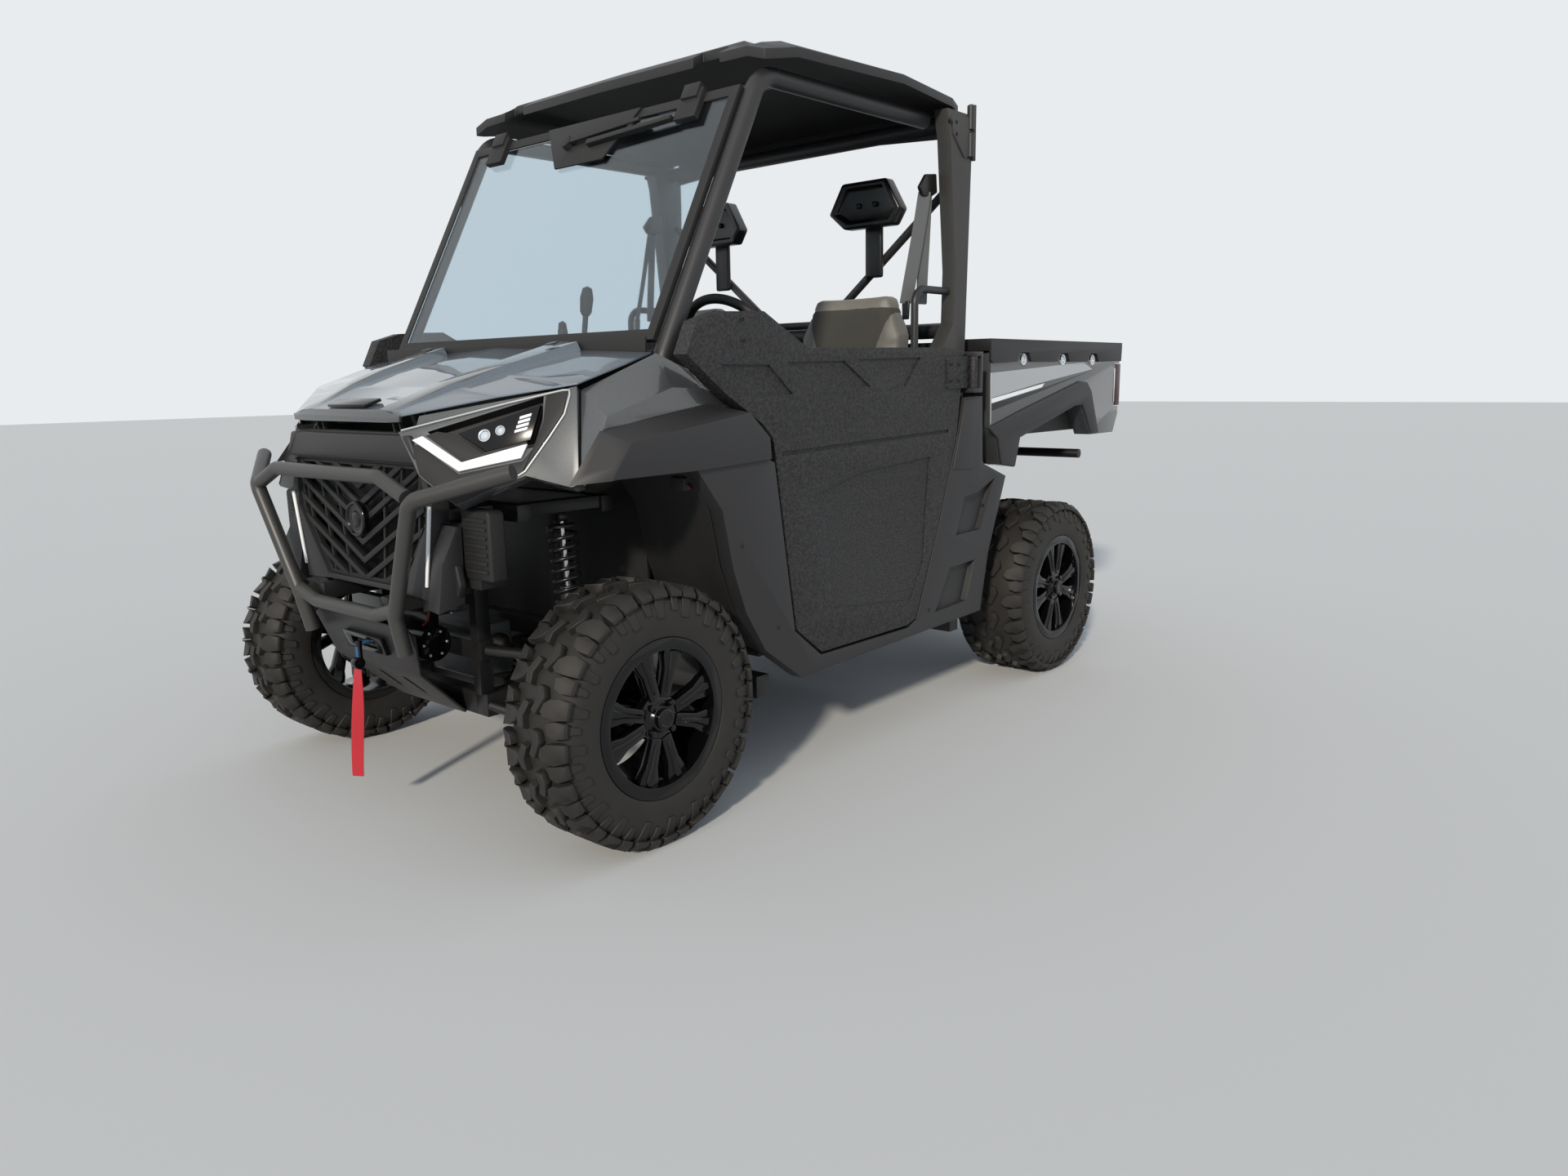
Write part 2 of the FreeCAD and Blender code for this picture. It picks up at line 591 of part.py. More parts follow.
def make_cab():
    """The roll cage: two side hoops, cross tubes, flat rear pillars, the brace behind the seats."""
    r = s.cab_tube
    side_hoop = tube("side_hoop", [
        (s.pillar_x, hoop_foot_y, s.rail_bottom + s.rail_height + s.seat_gap),
        (s.pillar_x, hoop_foot_y, 560), (s.pillar_x, front + 300, 850),
        (s.pillar_x, pillar_foot_y, pillar_foot_z),
        (s.pillar_x, pillar_head_y, pillar_head_z),
        (s.pillar_x, s.b_pillar_y - 80 - s.seat_gap, s.roof_height - 50),
    ], r, 90)
    node("cage_sides", *pair("cage_side", side_hoop))
    pillar = plate("b_pillar", "side", [
        (s.b_pillar_y - 80, s.roof_height - s.roof_wall - s.seat_gap),
        (s.b_pillar_y - 60, s.roof_height - 110),
        (s.b_pillar_y - 20, 1450), (s.b_pillar_y - 26, 1290), (s.b_pillar_y - 100, 1200),
        (s.b_pillar_y - 100, 900), (s.b_pillar_y - 40, s.rail_bottom + s.rail_height + s.seat_gap),
        (s.b_pillar_y + 10, s.rail_bottom + s.rail_height + s.seat_gap),
        (s.b_pillar_y + 45, 1230), (s.b_pillar_y + 65, s.roof_height - 160),
        (s.b_pillar_y + 65, s.roof_height - s.roof_wall - s.seat_gap),
    ], s.b_pillar_x, s.b_pillar_depth)
    post_face = s.b_pillar_x + s.b_pillar_depth
    upper = plate("upper_hinge_plate", "side", [
        (s.b_pillar_y - 62, s.roof_height - 45), (s.b_pillar_y + 62, s.roof_height - 35),
        (s.b_pillar_y + 62, s.roof_height - 148),
        (s.b_pillar_y + 16, s.roof_height - 160), (s.b_pillar_y - 50, s.roof_height - 100)],
        post_face - 1, 6)
    knuckle = rod("upper_hinge_barrel", (post_face + 2, s.b_pillar_y + 70, s.roof_height - 162),
                  (post_face + 2, s.b_pillar_y + 70, s.roof_height + 5), 9)
    node("b_pillars", *pair("b_pillar", joined("b_pillar_whole", [pillar, upper, knuckle])))
    gap = s.seat_gap
    bars = [
        rod("front_header", (-s.pillar_x + r + gap, s.roof_front_y + 100, s.roof_height - 60),
            (s.pillar_x - r - gap, s.roof_front_y + 100, s.roof_height - 60), 16),
        rod("rear_header", (-s.b_pillar_x + gap, s.b_pillar_y + 20, s.roof_height - 50),
            (s.b_pillar_x - gap, s.b_pillar_y + 20, s.roof_height - 50), r),
        rod("rear_belt_bar", (-s.b_pillar_x + gap, s.b_pillar_y + 20, s.belt_height + 60),
            (s.b_pillar_x - gap, s.b_pillar_y + 20, s.belt_height + 60), r),
    ]
    legs = []
    for side in (-1, 1):
        legs.append(rod(f"brace_leg{side}", ((s.b_pillar_x - 2 - s.brace_tube) * side, s.b_pillar_y + 20,
                                             s.brace_top),
                        (s.brace_foot_x * side, s.b_pillar_y + 20,
                         s.belt_height + 60 + r + s.brace_tube + gap), s.brace_tube))
    foot = rod("brace_foot", (-s.brace_foot_x - 10, s.b_pillar_y + 20,
                              s.belt_height + 60 + r + s.brace_tube + gap),
               (s.brace_foot_x + 10, s.b_pillar_y + 20, s.belt_height + 60 + r + s.brace_tube + gap),
               s.brace_tube)
    node("cage_cross", *bars, joined("seat_brace_tubes", legs + [foot]))


def band(name, plane, stations):
    """A shell lofted through stations: each is (station, outer line of points, wall below it)."""
    return loft(name, plane, [(station, list(line) + [(a, b - wall) for a, b in reversed(line)])
                              for station, line, wall in stations])


def make_roof():
    """A moulded roof: a crowned tray with turned-down edges."""
    stations = []
    for station, half, edge, step, crown in (
        # station, half width, then heights above the roof line:
        # of the edge, of the raised field's foot and of the crown
        (s.roof_front_y, s.roof_half_width - 50, -8, 10, 20),
        (s.roof_front_y + 40, s.roof_half_width - 34, -2, 24, 42),
        (s.roof_front_y + 100, s.roof_half_width - 20, 10, 36, 66), (0, s.roof_half_width, 25, 48, 72),
        (s.b_pillar_y - 40, s.roof_half_width - 8, 10, 26, 48),
        (s.b_pillar_y + 20, s.roof_half_width - 25, 0, 8, 20),
    ):
        z = s.roof_height
        line = [(-half, z + edge), (-half + 60, z + step), (-half + 150, z + step + 2),
                (-half + 190, z + crown - 4),
                (0, z + crown), (half - 190, z + crown - 4), (half - 150, z + step + 2),
                (half - 60, z + step), (half, z + edge)]
        stations.append((station, line, s.roof_wall))
    notches = [side_block(f"roof_notch{side}", side, (s.screen_hinge_x - 50, s.roof_front_y - 5,
                                                      s.roof_height - 40),
                          (s.screen_hinge_x + 50, s.roof_front_y + 42, s.roof_height + 90))
                          for side in (-1, 1)]
    node("roof", cut("roof_tray", band("roof_shell", "front", stations), notches))


def make_screen():
    """The flat windscreen: a frame round a pane, hinged at its top and strutted inside."""
    run, rise = float(pillar_head_y - pillar_foot_y), float(pillar_head_z) - float(pillar_foot_z)
    slope = run / rise
    angle = -math.degrees(math.atan2(run, rise))
    height = float(s.screen_top - s.screen_foot) * math.hypot(1, slope)
    aside = float(s.pillar_x) - float(s.glass_half_width)
    proud = (math.sqrt(float(s.cab_tube) ** 2 - aside ** 2) + float(s.seat_gap) + 8) * math.hypot(1, slope)
    foot_y = float(pillar_foot_y) + (float(s.screen_foot) - float(pillar_foot_z)) * slope - proud
    half, lip = s.glass_half_width, s.screen_lip
    ring = cut("screen_ring",
               plate("screen_blank", "front", [(-half, 0), (half, 0), (half, height), (-half, height)], -8,
                     16),
               [plate("screen_hole", "front", [(-half + lip, lip), (half - lip, lip),
                                               (half - lip, height - lip),
                                               (-half + lip, height - lip)], -9, 18)])
    pane = plate("screen_pane", "front", [
        (-half + lip + s.seat_gap, lip + s.seat_gap), (half - lip - s.seat_gap, lip + s.seat_gap),
        (half - lip - s.seat_gap, height - lip - s.seat_gap),
        (-half + lip + s.seat_gap, height - lip - s.seat_gap),
    ], -3, s.glass_thickness)
    hinges = []
    for side in (-1, 1):
        hinges.append(side_block(f"screen_hinge{side}", side, (s.screen_hinge_x - 40, -24, height - 84),
                                 (s.screen_hinge_x + 40, -6, height + 6)))
        hinges.append(side_block(f"screen_hinge_knuckle{side}", side,
                                 (s.screen_hinge_x - 30, -32, height - 26),
                                 (s.screen_hinge_x + 30, -6, height + 18)))
    lean = FreeCAD.Rotation(V(1, 0, 0), angle)
    foot = V(0, foot_y, float(s.screen_foot))
    node("screen_frame", placed("screen_frame_set", joined("screen_frame_whole", [ring] + hinges), foot,
                                lean))
    node("screen_glass", placed("screen_glass_set", pane, foot, lean))
    back = -8 - float(s.seat_gap)
    arm = joined("wiper_arm", [
        plate("wiper_plate", "front", [(-200, height), (215, height), (120, height - 150),
                                       (-95, height - 150)], back - 5, 5),
        rod("wiper_pivot", (-60, back - 26, height - 75), (-60, back - 2, height - 75), 20),
        plate("wiper_stick", "front", [(-62, height - 66), (-62, height - 84), (250, height - 62),
                                       (250, height - 50)], back - 24, 10),
        plate("wiper_blade", "front", [(40, height - 84), (40, height - 100), (382, height - 80),
                                       (382, height - 68)], back - 22, 16),
        block("wiper_claw", (205, back - 20, height - 90), (225, back - 14, height - 55)),
    ])
    node("wiper", placed("wiper_set", arm, foot, lean))


def make_hood():
    """The hood: one pressed shell with two raised ridges, and a lip over the nose."""
    stations = []
    for station, half, edge, outer, inner, foot, rise, crown in (
        # station, half width, edge height, ridge's outer and inner place,
        # height beside the ridge, its rise, middle height
        (nose + 85, 262, 1048, 222, 168, 1054, 4, 1060), (nose + 220, 448, 1088, 268, 206, 1104, 14, 1112),
        (nose + 330, 612, 1116, 304, 236, 1138, 18, 1150), (nose + 545, 632, 1186, 352, 262, 1198, 22, 1214),
    ):
        side = [(-half, edge), (-outer - 14, foot), (-outer, foot + rise), (-inner, foot + rise + 3),
                (-inner + 16, foot + 6)]
        line = side + [(0, crown)] + [(-a, b) for a, b in reversed(side)]
        stations.append((station, line, s.panel))
    shell = band("hood_shell", "front", stations)
    lip = plate("hood_lip", "front", [(-258, 1032), (-200, 1030), (200, 1030), (258, 1032), (262, 1048),
                                      (168, 1059), (0, 1059),
                                      (-168, 1059), (-262, 1048)], nose + 81, 8)
    eyes = []
    for side in (-1, 1):
        x = s.hood_hinge_x * side
        eyes.append(cut(f"hood_eye{side}", block(f"hood_lug{side}",
                                                 (x - 10, s.hood_hinge_y - 8, s.hood_hinge_z - 8),
                                                 (x + 10, s.hood_hinge_y + 8, s.hood_hinge_z + 22)),
                        [rod(f"hood_bore{side}", (x - 11, s.hood_hinge_y, s.hood_hinge_z),
                             (x + 11, s.hood_hinge_y, s.hood_hinge_z), s.hood_pin + 0.05)]))
    node("hood", joined("hood_whole", [shell, lip] + eyes))


def lamp_corner(name, piece):
    """Set a piece made in the front plane on the raked plane of the lamps, x outward, z up the plane."""
    out, up = V(0.8715, 0.4903, 0), V(-0.188, 0.3341, 0.9236)
    return placed(name, piece, V(260, float(nose) + 88, 1020),
                  FreeCAD.Rotation(out, up.cross(out), up, "XZY"))


def make_front_body():
    """Fascia with its lamp corners, grille, lamps, fenders, flares and the liners round the front wheels."""
    y = nose + 98
    ears = []
    for side in (-1, 1):
        for step in (-1, 1):
            x = s.hood_hinge_x * side + step * 15
            ears.append(plate(f"hood_ear{side}{step}", "side", [
                (s.hood_hinge_y - 6, s.hood_hinge_z - 3), (s.hood_hinge_y - 6, s.hood_hinge_z + 6),
                (s.hood_hinge_y + 6, s.hood_hinge_z + 6),
                (s.hood_hinge_y + 34, s.hood_hinge_z - 30), (s.hood_hinge_y + 34, s.hood_hinge_z - 42),
                (s.hood_hinge_y + 14, s.hood_hinge_z - 42), (s.hood_hinge_y + 10, s.hood_hinge_z - 14),
                (s.hood_hinge_y, s.hood_hinge_z - 6)], x - 3, 6))
        ears.append(rod(f"hood_hinge_pin{side}", (s.hood_hinge_x * side - 17, s.hood_hinge_y, s.hood_hinge_z),
                        (s.hood_hinge_x * side + 17, s.hood_hinge_y, s.hood_hinge_z), s.hood_pin))
    middle = plate("fascia_blank", "front", [
        (-285, 1006), (-345, 850), (-300, 606), (-180, 612), (180, 612), (300, 606), (345, 850),
        (285, 1006)], y, 40)
    # The lamp corner in its own plane: the silver surround with a recess that holds the lens.
    surround = cut("lamp_surround", plate("lamp_blank", "front", [
        (-8, -12), (405, 92), (424, 96), (453, -138), (436, -145), (322, -118), (160, -190), (60, -120)], 0,
        40),
        [plate("lamp_recess", "front", [(66, -12), (346, 74), (350, 10), (336, -50), (168, -84)], -1, 31)])
    corner = lamp_corner("lamp_corner_left", surround)
    scoop = loft("side_scoop", "side", [
        (322, [(nose + 122, 792), (nose + 145, 792), (nose + 140, 600), (nose + 80, 590), (nose + 100, 704)]),
        (392, [(nose + 128, 788), (nose + 142, 788), (nose + 138, 606), (nose + 66, 590), (nose + 84, 704)])])
    node("fascia", cut("fascia_whole", joined("fascia_raw", [
        middle, corner, mirrored("lamp_corner_right", corner), scoop,
        mirrored("side_scoop_right", scoop)] + ears),
        [plate("fascia_hole", "front", GRILLE, y - 20, 70)]))
    field = plate("grille_field", "front", scaled(GRILLE, 0.955), y + 2, 24)
    ring = cut("grille_ring", plate("grille_blank", "front", scaled(GRILLE, 0.995), y + 8, 14),
               [plate("grille_hole", "front", scaled(GRILLE, 0.935), y + 7, 16)])
    bars = []
    for index in range(8):
        foot = 572 + index * s.grille_pitch
        bars.append(plate(f"grille_vee{index}", "front", [
            (0, foot), (330, foot + 168), (330, foot + 182), (0, foot + 16), (-330, foot + 182),
            (-330, foot + 168)], y + 4, 14))
    for side in (-1, 1):
        for place in (70, 150, 230):
            bars.append(plate(f"grille_rib{side}_{place}", "front", [
                (place * side, 560), ((place + 7) * side, 560), ((place + 67) * side, 960),
                ((place + 60) * side, 960)], y + 9, 9))
    bars.append(rod("grille_disc", (0, y - 6, 787), (0, y + 16, 787), 40))
    lattice = add("Part::MultiCommon", "grille_lattice")
    lattice.Shapes = [joined("grille_bars", bars), field]
    node("grille", joined("grille_whole", [ring, lattice]))
    lens = lamp_corner("headlamp_left", plate("headlamp_lens", "front",
                                              [(137, -13), (337, 56), (322, -30), (215, -58)], 8,
                                              22 - s.seat_gap))
    node("headlamps", *pair("headlamp", lens))
    hook_strip = lamp_corner("running_left", plate("running_strip", "front", [
        (32, -34), (160, -110), (310, -78), (322, -44), (312, -46), (164, -88), (58, -24)], -7,
        7 - s.seat_gap))
    side_strip = plate("grille_strip", "front", [(333, 838), (344, 836), (306, 640), (296, 640)],
                       y - 6 - s.seat_gap, 6)
    node("running_lights", *pair("running", hook_strip), *pair("grille_light", side_strip))
    out = s.door_outer - s.door_thickness - 6
    fender = loft("front_fender", "front", [
        (station, [(x, z), (out, edge), (out, foot), (out - 8, foot), (out - 8, edge - 6), (x, z - 10)])
        for station, x, z, edge, foot in (
            # station, inner edge and its height, outer edge and the height it goes down to
            (front - 138, 680, 906, 899, 889), (front - 66, 607, 1100, 1040, 1000),
            (front + 140, 641, 1184, 1102, 1032), (front + 246, 656, 1140, 1098, 1050),
            (front + 326, 676, 1078, 1072, 1056))])
    rib = block("fender_rib", (out - 5, front + 10, 1000), (s.door_outer - s.door_thickness - s.seat_gap,
                                                            front + 90, 1020))
    node("front_fenders", *pair("front_fender", joined("fender_whole", [fender, rib])))
    flare = loft("front_flare", "side", [
        (s.door_outer - s.door_thickness, [
            (front - 95, 1009), (front + 261, 1060), (front + 424, 978), (front + 430, 914.4),
            (front + 179, 903.9),
            (front - 114, 901), (front - 190, 893)]),
        (s.door_outer + 10, [
            (front - 48, 982), (front + 349, 1036), (front + 424, 970), (front + 430, 914.4),
            (front + 179, 903.9),
            (front - 100, 902), (front - 112, 900)])])
    node("front_flares", *pair("front_flare", flare))
    arch = [(front + 165, 905), (front + 246, 797), (front + 281, 640), (front + 326, 520),
            (front + 402, 407)]
    out = s.door_outer - s.door_thickness - s.seat_gap
    liner = plate("wheel_arch", "side", arch + [(a + 5, b + 3) for a, b in reversed(arch)], 425, out - 425)
    lamp = side_block("arch_lamp", 1, (640, front + 170, 850), (692, front + 245, 882))
    node("wheel_arches", *pair("wheel_arch", joined("wheel_arch_whole", [liner, lamp])))


def scaled(points, factor):
    """An outline drawn in about the grille's middle."""
    return [(a * factor, 778 + (b - 778) * factor) for a, b in points]


GRILLE = [(-305, 930), (-320, 800), (-190, 625), (190, 625), (320, 800), (305, 930)]


def make_sides():
    """Sills with the quarter behind the door, and the two half doors."""
    inner, outer = s.door_outer - s.door_thickness, s.door_outer
    sill = plate("side_sill_blank", "side", [
        (front + 167, 903), (front + 428, 914), (front + 452, 904), (front + 526, 436), (front + 640, 346),
        (rear - 968, 342), (rear - 916, 362), (rear - 796, 640), (rear - 688, 930), (rear - 643, 1050),
        (rear - 535, 1052), (rear - 526, 830), (rear - 366, 775), (rear - 476, 520), (rear - 523, 322),
        (front + 622, s.sill_height), (front + 557, s.sill_height - 4), (front + 404, 405),
        (front + 330, 520),
        (front + 286, 640), (front + 250, 797)], inner, s.door_thickness)
    pockets = [
        plate("quarter_pocket", "side", [(rear - 636, 726), (rear - 556, 732), (rear - 440, 774),
                                         (rear - 530, 606), (rear - 688, 603)],
              outer - 22, 23),
        plate("sill_pocket", "side", [(rear - 723, 500), (rear - 563, 506), (rear - 616, 373),
                                      (rear - 810, 365)], outer - 22, 23)]
    cover = plate("quarter_cover", "side", [(rear - 644, 1042), (rear - 556, 1048), (rear - 596, 815),
                                            (rear - 716, 822)], outer - 1, 5)
    node("side_sills", *pair("side_sill", joined("side_sill_whole",
                                                 [cut("side_sill_cut", sill, pockets), cover])))
    panel = plate("door_panel", "side", [
        (front + 140, 1179), (front + 179, 1257), (front + 258, 1281), (front + 419, 1287),
        (front + 594, 1198), (rear - 802, s.belt_height), (rear - 655, s.belt_height - 11), (rear - 696, 930),
        (rear - 804, 637), (rear - 924, 366), (rear - 971, 352), (front + 644, 354), (front + 534, 438),
        (front + 460, 904), (front + 448, 967), (front + 406, 1006), (front + 271, 1085)],
        inner, s.door_thickness)
    pressings = [plate(f"door_{name}", "side", points, outer - depth, depth + 1) for name, depth, points in (
        # name, depth, outline
        ("belt_front", 6, [(front + 259, 1155), (front + 435, 1154), (front + 531, 1078),
                           (front + 335, 1078)]),
        ("belt_middle", 6, [(front + 511, 1161), (front + 751, 1165), (front + 879, 1092),
                            (front + 560, 1106)]),
        ("belt_rear", 6, [(rear - 1230, 1169), (rear - 904, 1176), (rear - 984, 1094), (rear - 1083, 1079)]),
        ("waist_line", 6, [(front + 480, 930), (rear - 742, 952), (rear - 742, 942), (front + 480, 918)]),
        ("panel", 5, [(front + 610, 800), (front + 826, 850), (rear - 850, 872), (rear - 880, 535),
                      (rear - 950, 430),
                      (front + 700, 470), (front + 668, 721)]),
    )]
    barrel = cut("door_barrel", joined("door_strap", [
        rod("door_eye", (s.hinge_x, s.hinge_y, s.hinge_low), (s.hinge_x, s.hinge_y, s.hinge_high), 14),
        block("door_leaf", (outer - 8, rear - 760, s.hinge_low), (outer + 6, s.hinge_y, s.hinge_high)),
    ]), [rod("door_bore", (s.hinge_x, s.hinge_y, s.hinge_low - 1), (s.hinge_x, s.hinge_y, s.hinge_high + 1),
             s.hinge_pin + 0.05)])
    door = joined("door_whole", [cut("door_pressed", panel, pressings), barrel])
    node("door_left", door)
    node("door_right", mirrored("door_whole_right", door))
    face = s.b_pillar_x + s.b_pillar_depth + s.seat_gap
    bracket = joined("hinge_bracket", [
        rod("hinge_pin_bar", (s.hinge_x, s.hinge_y, s.hinge_low - 15),
            (s.hinge_x, s.hinge_y, s.hinge_high + 15), s.hinge_pin),
        block("hinge_ear_low", (face, s.hinge_y - 12, s.hinge_low - 15),
              (s.hinge_x + 12, s.hinge_y + 40, s.hinge_low - 1)),
        block("hinge_ear_high", (face, s.hinge_y - 12, s.hinge_high + 1),
              (s.hinge_x + 12, s.hinge_y + 40, s.hinge_high + 15)),
        block("hinge_back", (face, s.hinge_y + 28, s.hinge_low - 15),
              (s.hinge_x + 12, s.hinge_y + 40, s.hinge_high + 15)),
    ])
    node("hinge_brackets", *pair("hinge_bracket", bracket))


def make_floor():
    """Floor pan, firewall and the plastic box under the seats."""
    half = s.door_outer - s.door_thickness - 6
    floor = plate("floor_pan", "top", [
        (-half, front + 430), (-415, front + 430), (-415, front + 289), (415, front + 289),
        (415, front + 430), (half, front + 430),
        (half, rear - 690), (-half, rear - 690)], s.floor_top - 15, 15)
    wall = block("fire_wall", (-415, front + 288, s.floor_top - 15), (415, front + 300, 950 - s.seat_gap))
    ribs = [side_block(f"floor_rib{side}", side, (310, hoop_foot_y - 20,
                                                  s.rail_bottom + s.rail_height + s.seat_gap),
                       (370, rear - 700, s.floor_top - 14)) for side in (-1, 1)]
    holes = [rod(f"pillar_hole{side}", (s.pillar_x * side, hoop_foot_y, s.floor_top - 60),
                 (s.pillar_x * side, hoop_foot_y, s.floor_top + 60), s.cab_tube + s.seat_gap)
                 for side in (-1, 1)]
    node("cab_floor", cut("cab_floor_tub", joined("cab_floor_raw", [floor, wall] + ribs), holes))
    box = cut("seat_box", block("seat_box_outer", (-s.cab_inner, s.seat_front, s.floor_top + s.seat_gap),
                                (s.cab_inner, s.seat_front + s.seat_box_depth,
                                 s.seat_height - s.cushion_thickness)),
              [block("seat_box_inner", (-s.cab_inner + 12, s.seat_front + 12, s.floor_top - 1),
                     (s.cab_inner - 12, s.seat_front + s.seat_box_depth - 12,
                      s.seat_height - s.cushion_thickness - 12))])
    node("seat_base", box)
    cushions, backs, rests = [], [], []
    places = ((-1, -s.bucket_x), (0, 0), (1, s.bucket_x))
    for side, x in places:
        half = s.bucket_width / 2 if side else s.middle_width / 2
        cushions.append(block(f"cushion{side}", (x - half, s.seat_front - 25,
                                                 s.seat_height - s.cushion_thickness + s.seat_gap),
                              (x + half, s.seat_front + 400, s.seat_height)))
        top = s.seat_back_top if side else s.seat_back_top - 130
        y0, y1 = s.seat_front + 402, s.seat_front + 450
        foot = s.seat_height - s.cushion_thickness + s.seat_gap
        profile = plate(f"seat_back_profile{side}", "side", [(y0, foot), (y0 + 95, foot), (y1 + 95, top),
                                                             (y1 + 20, top)], x - half, half * 2)
        face = plate(f"seat_back_face{side}", "front", [
            (x - half, foot), (x + half, foot), (x + half, top - 130), (x + half - 60, top),
            (x - half + 60, top), (x - half, top - 130)],
            y0 - 10, 240)
        back = add("Part::MultiCommon", f"seat_back{side}")
        back.Shapes = [profile, face]
        backs.append(back)
    node("seat_cushions", *cushions)
    node("seat_backs", *backs)
    for side in (-1, 1):
        x = s.headrest_x * side
        low = s.headrest_low
        rests.append(cut(f"headrest{side}", plate(f"headrest_pad{side}", "front", [
            (x - 88, low), (x + 112, low), (x + 144, low + 50), (x + 86, low + 150), (x - 92, low + 150),
            (x - 150, low + 52)],
            s.b_pillar_y - 62, 50), [plate(f"headrest_dish{side}", "front", [
                (x - 70, low + 22), (x + 92, low + 22), (x + 116, low + 54), (x + 70, low + 128),
                (x - 76, low + 128), (x - 122, low + 54)],
                s.b_pillar_y - 63, 17)]))
        rests.append(block(f"headrest_plate{side}", (x - 35, s.b_pillar_y - 12 + s.seat_gap,
                                                     s.headrest_low - 160),
                           (x + 35, s.b_pillar_y + 20 - s.brace_tube - s.seat_gap, s.headrest_low + 60)))
    node("headrests", *rests)
    hoop_x = s.b_pillar_x + 20
    hoop = tube("hip_hoop", [(hoop_x, s.b_pillar_y - 100 - s.seat_gap, 1100),
                             (hoop_x, s.b_pillar_y - 210, 1100),
                             (hoop_x, s.b_pillar_y - 210, 1389), (hoop_x, s.b_pillar_y - 23, 1389)], 12, 50)
    node("hip_hoops", *pair("hip_hoop", hoop))
    belt = block("belt_strap", (s.b_pillar_x - 3 - s.seat_gap, s.b_pillar_y - 15, 1296),
                 (s.b_pillar_x - s.seat_gap, s.b_pillar_y + 31, s.roof_height - 200))
    node("seat_belts", *pair("seat_belt", belt))
    screen_half = s.b_pillar_x - s.seat_gap
    mesh = plate("rear_mesh", "front", [(-screen_half, 1000), (screen_half, 1000), (screen_half, 1230),
                                        (-screen_half, 1230)], s.b_pillar_y + 30, 8)
    node("rear_screen", mesh)


def make_controls():
    """Dashboard, steering column and wheel, levers."""
    dash = plate("dash_body", "side", [
        (front + 215, 1090), (front + 235, 1195), (front + 300, 1200), (front + s.dash_depth, 1150),
        (front + s.dash_depth, 1000),
        (front + 305, 950), (front + 285, 950)], -570, 1140)
    cowl = plate("dash_cowl", "side", [(front + 144, 1180), (front + 236, 1196), (front + 236, 1180),
                                       (front + 144, 1168)], -560, 1120)
    pod = plate("dash_pod", "side", [(front + 290, 1195), (front + 330, 1225), (front + 372, 1150),
                                     (front + 360, 1140)], 300, 200)
    node("dashboard", joined("dashboard_whole", [dash, cowl, pod]))
    centre = V(float(s.wheel_x), float(s.wheel_y), float(s.wheel_z))
    lean = FreeCAD.Rotation(V(1, 0, 0), float(s.wheel_rake))
    away = lean.multVec(V(0, 1, 0)) * -1
    # The column runs down and forward from the wheel; the wheel faces the driver.
    ring = add("Part::Torus", "wheel_ring")
    bind(ring, "Radius1", s.wheel_rim_radius)
    bind(ring, "Radius2", s.wheel_rim_tube)
    ring.Placement = FreeCAD.Placement(centre, FreeCAD.Rotation(V(0, 0, 1), away * -1))
    hub_disc = rod("wheel_hub", centre + away * 20, centre - away * 14, 60)
    spokes = []
    for index in range(3):
        turn = FreeCAD.Rotation(away, 120 * index + 60)
        up = turn.multVec(lean.multVec(V(0, 0, 1)))
        spokes.append(rod(f"wheel_spoke{index}", centre + up * 40, centre + up * float(s.wheel_rim_radius),
                          10))
    node("steering_wheel", joined("steering_wheel_whole", [ring, hub_disc] + spokes))
    rake = math.radians(float(s.wheel_rake))
    length = float(s.wheel_y - front - s.dash_depth) / math.cos(rake) - 28 * math.tan(rake) - 0.4
    node("steering_column", rod("column_tube", centre + away * (20 + float(s.seat_gap)),
                                centre + away * length, 28))
    levers = [rod("shift_stick", (50, front + s.dash_depth + 8.5, 1100),
                  (50, front + s.dash_depth + 50, 1380), 8),
              rod("brake_stick", (-60, front + s.dash_depth + 8.5, 1080),
                  (-60, front + s.dash_depth + 35, 1290), 8)]
    node("levers", *levers)


def make_rack():
    """The steering rack: housing on the frame, bar and tie rods that slide together."""
    y, z = front + s.steering_arm, s.rail_bottom + s.rail_height + s.seat_gap + 26
    reach = s.kingpin_x - s.steering_offset
    bar = joined("rack_bar", [
        rod("rack_rod", (-reach, y, z), (reach, y, z), 10),
        rod("rack_eye_left", (reach, y, hub + s.seat_gap), (reach, y, z + 14), 14),
        rod("rack_eye_right", (-reach, y, hub + s.seat_gap), (-reach, y, z + 14), 14)])
    node("tie_rods", bar)
    node("rack_housing", cut("rack_case", rod("rack_case_tube", (-150, y, z), (150, y, z), 26),
        [rod("rack_case_bore", (-151, y, z), (151, y, z), 10.05)]))


